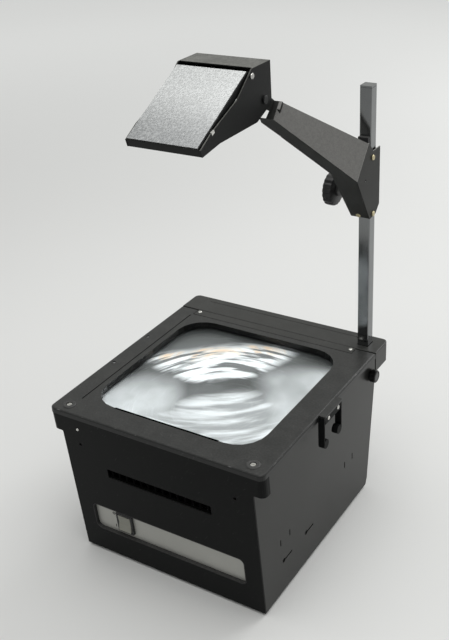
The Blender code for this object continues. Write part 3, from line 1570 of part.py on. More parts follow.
def build_cover():
    """Folding cover: black tray, bright face plate on top and the mirror under it."""
    tray_top = cover_top - face_plate_thickness - gap
    tray = part("mirror_cover", cover_axis,
                cover_slab(cover_half_width, cover_start, cover_length, tray_top - cover_plate,
                           tray_top), BLACK)
    for side in (-1, 1):
        low, high = ordered(side * (cover_half_width - sheet), side * (cover_half_width - running_play))
        flange = outline_mesh("YZ", low, high, [
            on_cover(cover_ear_back, cover_flange_low), on_cover(cover_flange_end, cover_flange_low),
            on_cover(cover_flange_end, tray_top - gap), on_cover(cover_start + gap, tray_top - gap),
            on_cover(cover_ear_back, -cover_ear_back / 2),
        ])
        join(tray, flange)
    cut(tray, rod_mesh("X", (0, cover_axis_y, cover_axis_z), -cover_half_width - sheet,
                       cover_half_width + sheet,
                       hinge_screw_shank + running_play, small_steps))
    face = cover_slab(cover_half_width - face_plate_margin, cover_start + face_plate_margin,
                      cover_length - face_plate_margin, tray_top + gap, cover_top)
    part("cover_plate", cover_axis, face, ((0.6, 0.6, 0.57), 0.35, 0.85))
    mirror_top = tray_top - cover_plate - gap
    glass = cover_slab(mirror_half_width, mirror_start, mirror_start + mirror_length,
                       mirror_top - mirror_thickness, mirror_top)
    part("mirror", cover_axis, glass, ((0.9, 0.9, 0.9), 0.02, 1))

    def build(side, side_name):
        outer = head_half_width + gap
        profile = [
            (0, outer + hinge_screw_height), (hinge_screw_head - gap, outer + hinge_screw_height),
            (hinge_screw_head, outer + hinge_screw_height - gap - gap), (hinge_screw_head, outer),
            (hinge_screw_shank, outer), (hinge_screw_shank, cover_half_width - thick_sheet),
            (0, cover_half_width - thick_sheet),
        ]
        screw = turned("hinge_screw_" + side_name, head_axis, "X", (0, cover_axis_y, cover_axis_z),
                       profile, BRIGHT, small_steps)
        if side < 0:
            screw.rotation_euler = (Matrix.Rotation(math.pi, 4, "Z") @ TURNS["X"]).to_euler()

    both_sides(build)
    inner_plate = head_half_width - sheet - gap
    start = head_half_width + gap
    nut_top = inner_plate - tongue_thickness - gap
    profile = [
        (0, start + head_bolt_head_height), (head_bolt_head_radius - gap, start + head_bolt_head_height),
        (head_bolt_head_radius, start + head_bolt_head_height - gap), (head_bolt_head_radius, start),
        (head_bolt_radius, start), (head_bolt_radius, nut_top), (head_bolt_head_radius, nut_top),
        (head_bolt_head_radius, nut_top - head_bolt_nut_height), (0, nut_top - head_bolt_nut_height),
    ]
    turned("head_bolt", head_axis, "X", (0, head_pivot_y, head_pivot_z), profile, DULL_BLACK, small_steps)


def build_carriage_screws():
    for (y, z), end in zip(bracket_screw_places, ("upper", "lower")):
        start = cheek_outer_x + gap
        tip = cheek_outer_x - sheet + gap
        profile = [
            (0, start + screw_head_height), (screw_head_radius - gap, start + screw_head_height),
            (screw_head_radius, start + screw_head_height / 2), (screw_head_radius, start),
            (screw_shank_radius, start), (screw_shank_radius, tip), (0, tip),
        ]
        turned("carriage_screw_" + end, carriage_slide, "X", (0, y, z), profile, ZINC, small_steps)


# Lamp, condenser, fan and transformer inside the box
def build_lamp():
    foot = reflector_foot_radius
    neck = floor_z + reflector_neck_height
    rim = floor_z + reflector_rim_height
    wall = reflector_wall
    outer = [(foot, floor_z), (foot, neck), (reflector_rim_radius, rim)]
    inner = [(reflector_rim_radius - wall, rim + wall / 2), (foot - wall, neck + wall / 2),
             (foot - wall, floor_z)]
    profile = inner[::-1] + outer[::-1] + [inner[-1]]
    turned("reflector", root, "Z", (0, stage_y, 0), profile, CHROME)
    socket_top = floor_z + lamp_socket_height
    profile = [
        (0, socket_top), (lamp_socket_radius - sheet, socket_top), (lamp_socket_radius, socket_top - sheet),
        (lamp_socket_radius, floor_z), (0, floor_z),
    ]
    turned("lamp_socket", root, "Z", (0, stage_y, 0), profile, ((0.8, 0.78, 0.7), 0.6, 0), small_steps)
    low = socket_top + gap
    shoulder = low + lamp_height
    profile = dome_profile(lamp_radius, shoulder, lamp_radius * lamp_dome_share) + [(lamp_radius, low),
                                                                                    (0, low)]
    turned("lamp", root, "Z", (0, stage_y, 0), profile, GLASS, small_steps)


def build_condenser():
    deck = holder_high - sheet
    outline = [
        Vector((-inside_half, holder_low)), Vector((-inside_half + sheet, holder_low)),
        Vector((-inside_half + sheet, deck)), Vector((inside_half - sheet, deck)),
        Vector((inside_half - sheet, holder_low)), Vector((inside_half, holder_low)),
        Vector((inside_half, holder_high)), Vector((-inside_half, holder_high)),
    ]
    holder = part("condenser_holder", root, outline_mesh("XZ", holder_front, holder_rear, outline),
                  GALVANISED)
    cut(holder, rod_mesh("Z", (0, stage_y, 0), deck - sheet, holder_high + sheet, holder_bore))
    low = holder_high + gap
    edge = low + condenser_edge
    profile = dome_profile(condenser_radius, edge, condenser_dome) + [(condenser_radius, low), (0, low)]
    turned("condenser_lens", root, "Z", (0, stage_y, 0), profile, GLASS)


def build_fan():
    low = floor_z
    high = low + fan_half * 2
    middle = low + fan_half
    rear = fan_front + fan_depth
    outline = rectangle(-fan_half, fan_half, low, high, post_radius * 2)
    frame = part("fan_frame", root, outline_mesh("XZ", fan_front, rear, outline), DULL_BLACK)
    cut(frame, rod_mesh("Y", (0, 0, middle), fan_front - sheet, rear - fan_arm_depth, fan_bore))
    windows = []
    for index in range(4):
        start = math.tau / 4 * index
        clear = math.asin(fan_arm_width / 2 / fan_hub_radius)
        outer_clear = math.asin(fan_arm_width / 2 / fan_blade_reach)
        points = []
        for step in range(corner_steps + 1):
            angle = start + outer_clear + (math.tau / 4 - 2 * outer_clear) * step / corner_steps
            points.append(Vector((fan_blade_reach * math.cos(angle),
                                  middle + fan_blade_reach * math.sin(angle))))
        for step in range(corner_steps + 1):
            angle = start + math.tau / 4 - clear - (math.tau / 4 - 2 * clear) * step / corner_steps
            points.append(Vector((fan_hub_radius * math.cos(angle),
                                  middle + fan_hub_radius * math.sin(angle))))
        windows.append(outline_mesh("XZ", rear - fan_arm_depth - sheet, rear + sheet, points))
    cut(frame, *windows)
    front_y = fan_front + sheet
    rear_y = rear - fan_arm_depth - gap
    hub = part("fan_impeller", fan_axis, rod_mesh("Y", (0, 0, middle), front_y, rear_y, fan_hub_radius,
                                                  small_steps),
               DULL_BLACK)
    half_chord = (rear_y - front_y) / 2 - gap
    for blade in range(fan_blades):
        mesh = block_mesh((fan_hub_radius - thick_sheet, -fan_blade_chord / 2, -fan_blade_thickness / 2),
                          (fan_blade_reach - sheet, fan_blade_chord / 2, fan_blade_thickness / 2))
        mesh.transform(Matrix.Rotation(math.radians(fan_blade_pitch), 4, "X"))
        mesh.transform(Matrix.Rotation(math.tau * blade / fan_blades, 4, "Y"))
        mesh.transform(Matrix.Translation((0, front_y + half_chord, middle)))
        join(hub, mesh)


def build_transformer():
    middle = (core_left + core_right) / 2
    half_leg = core_middle_leg / 2
    low = floor_z
    high = low + core_height
    windows = []
    for side in (-1, 1):
        left, right = ordered(middle + side * half_leg,
                              middle + side * ((core_right - core_left) / 2 - core_leg))
        windows.append(rectangle(left, right, low + core_leg, high - core_leg))
    outline = rectangle(core_left, core_right, low, high)
    part("transformer_core", root, outline_mesh("XZ", core_front, core_rear, outline, windows),
         ((0.12, 0.12, 0.13), 0.5, 0.6))
    reach = (core_right - core_left) / 2 - core_leg - coil_play
    outer = rectangle(middle - reach, middle + reach, core_front - coil_overhang,
                      core_rear + coil_overhang, corner_radius)
    hole = rectangle(middle - half_leg - coil_play, middle + half_leg + coil_play, core_front - coil_play,
                     core_rear + coil_play)
    coil = outline_mesh("XY", low + core_leg + coil_play, high - core_leg - coil_play, outer, [hole])
    part("transformer_coil", root, coil, ((0.5, 0.3, 0.12), 0.5, 0.2))


build_base()
build_front_panel()
build_front_fittings()
build_switch()
build_side_panels()
build_rear_panel()
build_rear_cover()
build_lid()
build_stage_glass()
build_lid_screws()
build_hinge_bar()
build_roll_bracket()
build_post()
build_arm()
build_carriage()
build_focus()
build_carriage_screws()
build_head()
build_objective()
build_cover()
build_lamp()
build_condenser()
build_fan()
build_transformer()
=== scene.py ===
"""Finishes an overhead projector: paint, glass, chrome and the small fittings on its
fixed frame, then a plain studio with the camera in front of the right corner.

Lengths are in metres, +X to the right along the front, +Y to the rear and +Z up.
"""
import json
import math

import bmesh
import bpy
from mathutils import Euler, Matrix, Vector

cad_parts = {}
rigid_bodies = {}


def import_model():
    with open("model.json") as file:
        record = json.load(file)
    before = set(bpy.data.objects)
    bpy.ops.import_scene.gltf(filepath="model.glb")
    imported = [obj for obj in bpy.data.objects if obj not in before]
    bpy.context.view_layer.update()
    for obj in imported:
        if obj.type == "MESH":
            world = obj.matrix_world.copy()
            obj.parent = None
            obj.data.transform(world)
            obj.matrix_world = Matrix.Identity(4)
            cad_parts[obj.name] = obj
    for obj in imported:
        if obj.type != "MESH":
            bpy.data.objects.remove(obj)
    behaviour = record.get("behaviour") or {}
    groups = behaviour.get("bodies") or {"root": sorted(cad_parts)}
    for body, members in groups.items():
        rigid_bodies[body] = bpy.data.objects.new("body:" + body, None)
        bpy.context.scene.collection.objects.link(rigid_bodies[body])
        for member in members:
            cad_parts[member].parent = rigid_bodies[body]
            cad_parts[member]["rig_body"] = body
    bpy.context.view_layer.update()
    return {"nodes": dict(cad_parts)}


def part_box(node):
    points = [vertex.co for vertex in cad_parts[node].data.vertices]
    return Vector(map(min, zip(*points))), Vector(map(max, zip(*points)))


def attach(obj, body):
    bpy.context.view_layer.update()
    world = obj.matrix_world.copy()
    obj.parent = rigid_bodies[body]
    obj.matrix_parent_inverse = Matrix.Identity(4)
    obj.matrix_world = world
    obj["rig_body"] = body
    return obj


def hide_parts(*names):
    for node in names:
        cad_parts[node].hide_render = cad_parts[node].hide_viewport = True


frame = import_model()
nodes = frame["nodes"]

bl_info = {
    "name": "Overhead Projector Finisher",
    "version": (1, 0, 0),
    "blender": (4, 5, 0),
    "location": "3D View > Sidebar > Projector",
    "description": "Paints and fits out an overhead projector on its fixed frame",
    "category": "Object",
}

# Places read from the frame
bar_low, bar_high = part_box("hinge_bar")
middle_x = (bar_low.x + bar_high.x) / 2
lid_low, lid_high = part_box("stage_lid")
stage_low, stage_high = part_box("stage_glass")
stage_centre = (stage_low + stage_high) / 2
knob_low, knob_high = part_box("focus_knob")
clamp_low, clamp_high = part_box("clamp_knob")
head_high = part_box("head_housing")[1]
plate_low, plate_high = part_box("control_plate")
rear_low, rear_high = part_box("rear_panel")
fan_low, fan_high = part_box("fan_frame")
lamp_low, lamp_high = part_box("lamp")
bracket_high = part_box("roll_bracket")[1]
top_z = lid_high.z
plate_edge_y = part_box("cover_plate")[0].y

# Lean of the front: rearward run of the panel for each metre of height
front_lean = 0.0756

UP = Vector((0, 0, 1))
RIGHT = Vector((1, 0, 0))
BARE_EDGE = (0.30, 0.30, 0.30)
# How far a small fitting sinks into its face, and how near two points count as one
SEAT = 0.0001
MERGE = 0.000001
SETTINGS = ("paint", "glass", "hardware", "head", "studio")


# Settings that a user would change
def colour_prop(name, description, default):
    """Colour setting."""
    return bpy.props.FloatVectorProperty(
        name=name, description=description, subtype="COLOR", size=3, min=0, max=1, default=default)


def length_prop(name, description, low, high, default):
    """Length setting in metres, shown to a hundredth of a millimetre."""
    return bpy.props.FloatProperty(
        name=name, description=description, unit="LENGTH", min=low, max=high, default=default, precision=5)


def share_prop(name, description, default):
    """Setting between none and all."""
    return bpy.props.FloatProperty(
        name=name, description=description, subtype="FACTOR", min=0, max=1, default=default)


def power_prop(name, description, default):
    """Power setting of a lamp in watts."""
    return bpy.props.FloatProperty(
        name=name, description=description, subtype="POWER", min=0, max=500, default=default)


class PaintSettings(bpy.types.PropertyGroup):
    """Colours and surface detail of the painted sheet metal."""
    black: colour_prop(
        "Black paint", "Satin black on the box, the lid and the head", (0.0036, 0.0040, 0.0040))
    # On the right side, rear cover and hinge bar this lighter black is painted light for the right and rear;
    # on the arm it is the wrinkle paint's base
    arm_and_lit_side_black: colour_prop(
        "Warm black paint", "Grainy dark grey on the arm, and painted light on the right side", (0.0135, 0.0138, 0.0125))
    roughness: bpy.props.FloatProperty(
        name="Roughness", description="How dull the satin paint is", min=0, max=1, default=0.42)
    grain_size: length_prop("Grain size", "Width of one bump in the paint", 0.0002, 0.01, 0.0016)
    wear: share_prop("Edge wear", "Share of the edges rubbed down to bright metal", 0.45)
    dust: share_prop("Dust", "Thin dust on faces that look up", 0.3)


class GlassSettings(bpy.types.PropertyGroup):
    """The glass stage and the grooved lens sheet under it."""
    tint: colour_prop("Glass tint", "Colour of the clear plate", (0.96, 0.985, 0.98))
    # Darkest and brightest colours of the painted reflection on the grooved sheet
    bright: colour_prop("Brightest painted reflection", "Lightest painted reflection streaks on the grooved sheet", (0.93, 0.95, 0.98))
    dark: colour_prop("Darkest painted reflection", "Darkest painted shade streaks on the grooved sheet", (0.030, 0.032, 0.032))
    groove_pitch: length_prop("Groove pitch", "Distance from one ring to the next", 0.0002, 0.01, 0.0014)


class HardwareSettings(bpy.types.PropertyGroup):
    """Plating of the screws, and the grips of the knobs."""
    nickel: colour_prop("Nickel", "Bright screws and rivets", (0.72, 0.71, 0.68))
    zinc: colour_prop("Yellow zinc", "Yellow passivated screws on the carriage", (0.60, 0.53, 0.33))
    knob_flutes: bpy.props.IntProperty(
        name="Knob flutes", description="Hollows round the focus knob", min=4, max=60, default=18)
    flute_depth: length_prop("Flute depth", "Depth of each hollow", 0.0001, 0.004, 0.0009)
    clamp_ribs: bpy.props.IntProperty(
        name="Clamp ribs", description="Grip ribs round the clamp knob", min=8, max=80, default=30)


class HeadSettings(bpy.types.PropertyGroup):
    """Finishes of the projection head, the post and the control plate."""
    hammered: colour_prop("Hammered silver", "Silver paint on the folding cover", (0.60, 0.61, 0.61))
    dimple_size: length_prop("Dimple size", "Width of one dimple in the hammer finish", 0.0005, 0.01, 0.0024)
    chrome: colour_prop("Chrome", "Colour of the square post", (0.24, 0.247, 0.25))
    silver_plate: colour_prop("Control plate", "Satin plate round the switch", (0.45, 0.45, 0.42))
    rocker: colour_prop("Rocker", "Moulded rocker of the switch", (0.24, 0.24, 0.205))


class StudioSettings(bpy.types.PropertyGroup):
    """Floor, background, lamps and camera."""
    floor: colour_prop("Floor", "Plain pale floor", (0.74, 0.745, 0.73))
    background: colour_prop("Background", "Pale background behind the floor", (0.60, 0.61, 0.59))
    world_strength: bpy.props.FloatProperty(
        name="World strength", description="Even light from all round", min=0, max=5, default=0.42)
    overhead_power: power_prop("Overhead lamp", "Power of the large soft lamp above", 34)
    rear_power: power_prop("Rear lamp", "Power of the soft lamp behind on the right", 30)
    camera_place: bpy.props.FloatVectorProperty(
        name="Camera place", description="Where the camera stands",
        subtype="TRANSLATION", size=3, default=(0.63479, -0.95060, 0.94475))
    camera_turn: bpy.props.FloatVectorProperty(
        name="Camera turn", description="Tilt, roll and turn of the camera",
        subtype="EULER", size=3,
        default=(math.radians(61.42328), math.radians(3.19877), math.radians(31.94116)))
    camera_lens: bpy.props.FloatProperty(
        name="Camera lens", description="Focal length in millimetres", min=10, max=300, default=55.334)


settings_classes = (PaintSettings, GlassSettings, HardwareSettings, HeadSettings, StudioSettings)


# Node wiring
class Wiring:
    """Adds nodes to a tree and joins their sockets."""

    def __init__(self, tree):
        self.tree = tree
        self.column = 0

    def feed(self, socket, value):
        if isinstance(value, bpy.types.NodeSocket):
            self.tree.links.new(value, socket)
        elif socket.type == "RGBA" and len(value) == 3:
            socket.default_value = (*value, 1)
        else:
            socket.default_value = value

    def add(self, kind, values=None, **settings):
        node = self.tree.nodes.new(kind)
        node.location = (self.column * 180, -60 * (self.column % 5))
        self.column += 1
        for key, value in settings.items():
            setattr(node, key, value)
        for key, value in (values or {}).items():
            self.feed(node.inputs[key], value)
        return node

    def math(self, operation, first, second=0.0, third=None):
        node = self.add("ShaderNodeMath", {0: first, 1: second}, operation=operation)
        if third is not None:
            self.feed(node.inputs[2], third)
        return node.outputs[0]

    def times(self, first, second):
        return self.math("MULTIPLY", first, second)

    def plus(self, first, second):
        return self.math("ADD", first, second)

    def minus(self, first, second):
        return self.math("SUBTRACT", first, second)

    def over(self, first, second):
        return self.math("DIVIDE", first, second)

    def scaled(self, value, factor, offset):
        return self.math("MULTIPLY_ADD", value, factor, offset)

    def distance(self, x, y):
        """Distance of a place from the origin of a plane."""
        return self.math("SQRT", self.plus(self.times(x, x), self.times(y, y)))

    def vector(self, operation, first, second=(0, 0, 0)):
        return self.add("ShaderNodeVectorMath", {0: first, 1: second}, operation=operation).outputs[0]

    def ramp(self, value, low, high, to_low=0.0, to_high=1.0, smooth=True):
        node = self.add("ShaderNodeMapRange", {0: value, 1: low, 2: high, 3: to_low, 4: to_high})
        node.interpolation_type = "SMOOTHSTEP" if smooth else "LINEAR"
        return node.outputs[0]

    def blend(self, share, first, second, mode="MIX"):
        node = self.add("ShaderNodeMix", data_type="RGBA", blend_type=mode)
        self.feed(node.inputs[0], share)
        self.feed(node.inputs[6], first)
        self.feed(node.inputs[7], second)
        return node.outputs[2]

    def noise(self, place, scale, detail=3.0, roughness=0.5):
        return self.add("ShaderNodeTexNoise", {
            "Vector": place, "Scale": scale, "Detail": detail, "Roughness": roughness}).outputs["Fac"]

    def parts(self, vector):
        return self.add("ShaderNodeSeparateXYZ", {0: vector}).outputs

    def joined(self, x, y, z):
        return self.add("ShaderNodeCombineXYZ", {0: x, 1: y, 2: z}).outputs[0]


SOCKETS = {"f": "NodeSocketFloat", "v": "NodeSocketVector", "c": "NodeSocketColor",
           "g": "NodeSocketGeometry", "i": "NodeSocketInt", "m": "NodeSocketMaterial"}


def tree_with(kind, name, takes, gives):
    """A node group with named inputs and outputs: its wiring, input sockets and output node."""
    tree = bpy.data.node_groups.new(name, kind)
    for label, letter, default in takes:
        socket = tree.interface.new_socket(name=label, in_out="INPUT", socket_type=SOCKETS[letter])
        if default is not None:
            socket.default_value = default
    for label, letter in gives:
        tree.interface.new_socket(name=label, in_out="OUTPUT", socket_type=SOCKETS[letter])
    wiring = Wiring(tree)
    source = wiring.add("NodeGroupInput").outputs
    target = wiring.add("NodeGroupOutput").inputs
    return wiring, source, target


# Shared surface effects
def build_grain():
    """Fine bumps with a slow drift of tone, as in stoved paint."""
    w, source, target = tree_with(
        "ShaderNodeTree", "Paint grain",
        [("Place", "v", None), ("Size", "f", 0.0016), ("Drift Size", "f", 0.09), ("Sharpness", "f", 0.5)],
        [("Height", "f"), ("Tone", "f")])
    fine = w.noise(source["Place"], w.over(1.0, source["Size"]), 2.0, source["Sharpness"])
    coarse = w.noise(source["Place"], w.over(0.35, source["Size"]), 2.0)
    drift = w.noise(source["Place"], w.over(1.0, source["Drift Size"]), 3.0)
    w.feed(target["Height"], w.scaled(coarse, 0.6, fine))
    w.feed(target["Tone"], w.scaled(fine, 0.35, w.times(drift, 0.65)))


def build_wear():
    """Mask of rubbed paint along the edges of a box given by two corners."""
    w, source, target = tree_with(
        "ShaderNodeTree", "Edge wear",
        [("Place", "v", None), ("Low", "v", (0, 0, 0)), ("High", "v", (1, 1, 1)), ("Band", "f", 0.0015),
         ("Patch Size", "f", 0.02), ("Share", "f", 0.5)],
        [("Mask", "f")])
    above = w.parts(w.vector("ABSOLUTE", w.vector("SUBTRACT", source["Place"], source["Low"])))
    below = w.parts(w.vector("ABSOLUTE", w.vector("SUBTRACT", source["High"], source["Place"])))
    near = [w.math("MINIMUM", above[axis], below[axis]) for axis in range(3)]
    least = w.math("MINIMUM", near[0], w.math("MINIMUM", near[1], near[2]))
    most = w.math("MAXIMUM", near[0], w.math("MAXIMUM", near[1], near[2]))
    total = w.plus(near[0], w.plus(near[1], near[2]))
    second = w.minus(w.minus(total, least), most)
    patch = w.noise(source["Place"], w.over(1.0, source["Patch Size"]), 4.0, 0.7)
    line = w.ramp(second, 0.0, source["Band"], 1.0, 0.0)
    limit = w.minus(0.85, w.times(source["Share"], 0.6))
    rubbed = w.ramp(patch, limit, w.plus(limit, 0.12))
    w.feed(target["Mask"], w.times(line, rubbed))


def build_dust():
    """Dust that settles on faces looking up, thicker in patches."""
    w, source, target = tree_with(
        "ShaderNodeTree", "Settled dust",
        [("Place", "v", None), ("Amount", "f", 0.3), ("Patch Size", "f", 0.03)],
        [("Mask", "f")])
    up = w.parts(w.add("ShaderNodeNewGeometry").outputs["Normal"])[2]
    patch = w.noise(source["Place"], w.over(1.0, source["Patch Size"]), 5.0, 0.65)
    speck = w.noise(source["Place"], w.over(12.0, source["Patch Size"]), 2.0)
    cover = w.times(w.ramp(up, 0.3, 0.95), w.ramp(patch, 0.2, 0.8, 0.45, 1.0))
    cover = w.times(cover, w.ramp(speck, 0.3, 0.7, 0.6, 1.0))
    w.feed(target["Mask"], w.times(cover, source["Amount"]))


def build_scratches():
    """Thin straight scuffs in two directions."""
    w, source, target = tree_with(
        "ShaderNodeTree", "Fine scratches",
        [("Place", "v", None), ("Spacing", "f", 0.004), ("Share", "f", 0.3)],
        [("Mask", "f")])
    lines = []
    for turn, stretch in ((0.5, 26.0), (-1.0, 18.0)):
        turned = w.add("ShaderNodeMapping", {
            "Vector": source["Place"], "Rotation": (turn, turn * 0.7, turn)})
        narrow = w.add("ShaderNodeMapping", {"Vector": turned.outputs[0], "Scale": (1.0, stretch, 2.0)})
        fibre = w.noise(narrow.outputs[0], w.over(0.25, source["Spacing"]), 2.0)
        lines.append(w.ramp(fibre, 0.70, 0.76))
    both = w.math("MAXIMUM", lines[0], lines[1])
    w.feed(target["Mask"], w.times(both, source["Share"]))


def build_swirl():
    """Rings of a grooved lens sheet round its centre, with arc-shaped streaks of painted reflection and
    painted shade.
    """
    w, source, target = tree_with(
        "ShaderNodeTree", "Painted groove reflections",
        [("Place", "v", None), ("Pitch", "f", 0.0014), ("Facing", "f", 0.5)],
        [("Light", "f"), ("Height", "f"), ("Tint", "f")])
    x, y, _ = w.parts(source["Place"])
    flat = w.joined(x, y, 0.0)
    bend = w.minus(w.noise(flat, 7.0, 2.0), 0.5)
    radius = w.distance(x, y)
    turn_x = w.math("COSINE", source["Facing"])
    turn_y = w.math("SINE", source["Facing"])
    lengthwise = w.plus(w.times(x, turn_x), w.times(y, turn_y))
    crosswise = w.minus(w.times(y, turn_x), w.times(x, turn_y))
    wide = w.math("ABSOLUTE", crosswise)
    drifted = w.scaled(bend, 0.045, lengthwise)

    def arcs(shift, coarse, low, high):
        """Long curved streaks about a centre moved along the swirl's own axis."""
        reach = w.scaled(bend, 0.018, w.distance(w.plus(lengthwise, shift), crosswise))
        across = w.scaled(bend, 0.03, crosswise)
        spots = w.joined(w.times(across, coarse * 0.16), w.times(reach, coarse), shift)
        return w.ramp(w.noise(spots, 1.8, 3.0, 0.55), low, high)

    broad = arcs(0.055, 46.0, 0.40, 0.56)
    near_broad = arcs(-0.065, 38.0, 0.38, 0.64)
    thin = arcs(0.055, 130.0, 0.56, 0.70)

    # Far half: a fan of bright arcs of painted reflection
    cone = w.scaled(wide, -1.05, drifted)
    far_fan = w.times(w.ramp(cone, -0.062, -0.012), w.ramp(drifted, 0.002, 0.018))
    far_fan = w.times(far_fan, w.ramp(drifted, 0.118, 0.078))
    far_light = w.times(far_fan, w.scaled(broad, 1.0, 0.14))

    # Near half: a paler fan of painted reflection, with a cloudy wing of painted light at either side
    cloud = w.ramp(w.noise(flat, 9.0, 3.0, 0.5), 0.30, 0.68)
    near_cone = w.minus(w.times(drifted, -1.0), w.times(wide, 0.75))
    near_fan = w.times(w.ramp(near_cone, -0.035, 0.020), w.ramp(drifted, -0.002, -0.030))
    near_light = w.times(near_fan, w.scaled(near_broad, 0.48, 0.36))
    wing = w.times(w.ramp(wide, 0.028, 0.085), w.ramp(drifted, 0.060, -0.012))
    wing_light = w.times(wing, w.scaled(cloud, 0.36, 0.36))

    # Painted highlights and shade: a small bright glint in the dark band, a haze of painted light
    # everywhere, thin bright lines and painted shade in the far corners
    off_glint = w.math("ABSOLUTE", w.minus(drifted, 0.020))
    painted_glint = w.times(w.ramp(off_glint, 0.003, 0.011, 0.9, 0.0), w.ramp(wide, 0.008, 0.030, 1.0, 0.0))
    body = w.math("MAXIMUM", w.math("MAXIMUM", far_light, near_light), w.math("MAXIMUM", wing_light, painted_glint))
    painted_haze = w.scaled(cloud, 0.09, 0.03)
    lines = w.times(thin, w.scaled(far_fan, 0.30, 0.06))
    mixed = w.plus(w.math("MAXIMUM", body, painted_haze), lines)
    corner = w.times(w.ramp(radius, 0.105, 0.150), w.ramp(drifted, 0.010, 0.050))
    mixed = w.times(mixed, w.scaled(corner, -0.8, 1.0))
    w.feed(target["Light"], w.math("MINIMUM", mixed, 1.0))
    w.feed(target["Height"], w.math("FRACT", w.over(radius, source["Pitch"])))
    # Tint marks where an orange fringe of painted reflection lies along the farthest bright arcs
    w.feed(target["Tint"], w.times(w.ramp(drifted, 0.062, 0.085), near_broad))


def effect(wiring, name, **values):
    """Places a shared effect in a material; underscores in a value's name stand for spaces."""
    node = wiring.add("ShaderNodeGroup", node_tree=bpy.data.node_groups[name])
    for key, value in values.items():
        wiring.feed(node.inputs[key.replace("_", " ")], value)
    return node.outputs


# Materials
def shade(colour, factor):
    """A colour made darker or lighter by a factor."""
    return tuple(channel * factor for channel in colour)


class Finish:
    """A material with its Principled shader, Object coordinates and wiring at hand."""

    def __init__(self, name, **constants):
        self.material = bpy.data.materials.new(name)
        self.material.use_nodes = True
        self.material.node_tree.nodes.clear()
        self.w = Wiring(self.material.node_tree)
        self.shader = self.w.add("ShaderNodeBsdfPrincipled")
        self.w.add("ShaderNodeOutputMaterial", {"Surface": self.shader.outputs[0]})
        self.place = self.w.add("ShaderNodeTexCoord").outputs["Object"]
        for key, value in constants.items():
            self.w.feed(self.shader.inputs[key.replace("_", " ")], value)

    def effect(self, name, **values):
        """Outputs of a shared effect placed on this material's own coordinates."""
        return effect(self.w, name, Place=self.place, **values)

    def set(self, key, value):
        self.w.feed(self.shader.inputs[key], value)

    def coat(self, tone, rough):
        """Feeds colour and roughness, and returns the material."""
        self.set("Base Color", tone)
        self.set("Roughness", rough)
        return self.material

    def bump(self, height, strength, distance):
        node = self.w.add("ShaderNodeBump", {"Strength": strength, "Distance": distance, "Height": height})
        self.set("Normal", node.outputs[0])


def painted(name, colour, roughness, grain, depth, wear, dust, box=None, drift=0.5, specular=0.3,
            dust_colour=(0.30, 0.30, 0.285)):
    """Stoved paint over steel, with grain, dust and, inside a given box, rubbed edges."""
    finish = Finish(name, Specular_IOR_Level=specular)
    w = finish.w
    texture = finish.effect("Paint grain", Size=grain)
    tone = w.blend(texture["Tone"], shade(colour, 1 - drift * 0.6), shade(colour, 1 + drift))
    tone = w.blend(finish.effect("Settled dust", Amount=dust)["Mask"], tone, dust_colour)
    tone = w.blend(finish.effect("Fine scratches", Share=wear * 0.35)["Mask"], tone, BARE_EDGE)
    rough = w.scaled(texture["Tone"], 0.16, roughness - 0.08)
    if box:
        rubbed = finish.effect("Edge wear", Low=box[0], High=box[1], Share=wear)["Mask"]
        tone = w.blend(rubbed, tone, BARE_EDGE)
        rough = w.minus(rough, w.times(rubbed, 0.1))
    finish.bump(texture["Height"], 0.35, depth)
    return finish.coat(tone, rough)


def wrinkled(name, colour, coat, roughness, grain, depth, start_x, wear):
    """Dark wrinkle paint, with painted light on the sloping top beyond a place along X: pale grey where the
    faces look up.
    """
    finish = Finish(name, Specular_IOR_Level=0.3)
    w = finish.w
    texture = finish.effect("Paint grain", Size=grain, Drift_Size=0.05)
    tone = w.blend(texture["Tone"], shade(colour, 0.55), shade(colour, 1.5))
    # Painted light: faces that look up beyond start_x take the pale coat colour, darker in the wrinkle
    # hollows
    up = w.parts(w.add("ShaderNodeNewGeometry").outputs["Normal"])[2]
    along = w.parts(finish.place)[0]
    lit_top_mask = w.times(w.ramp(up, 0.35, 0.55), w.ramp(along, start_x - 0.0005, start_x + 0.0005))
    wrinkle = w.ramp(texture["Height"], 0.55, 1.05, 0.62, 1.0)
    tone = w.blend(lit_top_mask, tone, w.blend(wrinkle, shade(coat, 0.45), coat))
    scuffs = finish.effect("Fine scratches", Share=wear)["Mask"]
    finish.bump(texture["Height"], 0.6, depth)
    return finish.coat(w.blend(scuffs, tone, (0.25, 0.25, 0.24)),
                       w.scaled(texture["Tone"], 0.2, roughness))


def bare_metal(name, colour, roughness, metallic=1.0, lines=0.3, spread=0.25, grain=0.004, depth=0.00003):
    """Plated or polished metal with soft smudges and hairline scuffs."""
    finish = Finish(name, Metallic=metallic)
    w = finish.w
    texture = finish.effect("Paint grain", Size=grain, Drift_Size=0.04)
    tone = w.blend(texture["Tone"], shade(colour, 1 - spread), colour)
    scuffs = finish.effect("Fine scratches", Share=lines, Spacing=0.002)["Mask"]
    pale = tuple(min(1.0, channel) for channel in shade(colour, 1.25))
    rough = w.scaled(texture["Tone"], 0.18, roughness - 0.06)
    finish.bump(texture["Height"], 0.25, depth)
    return finish.coat(w.blend(scuffs, tone, pale), w.scaled(scuffs, 0.15, rough))


def moulded(name, colour, roughness, grain=0.0009, depth=0.00004, dust=0.15, spread=0.3, specular=0.35):
    """Moulded plastic, rubber or ceramic with a fine skin."""
    finish = Finish(name, Specular_IOR_Level=specular)
    w = finish.w
    texture = finish.effect("Paint grain", Size=grain, Drift_Size=0.03)
    tone = w.blend(texture["Tone"], shade(colour, 1 - spread), colour)
    settled = finish.effect("Settled dust", Amount=dust)["Mask"]
    finish.bump(texture["Height"], 0.4, depth)
    return finish.coat(w.blend(settled, tone, (0.3, 0.3, 0.28)),
                       w.scaled(texture["Tone"], 0.2, roughness - 0.1))


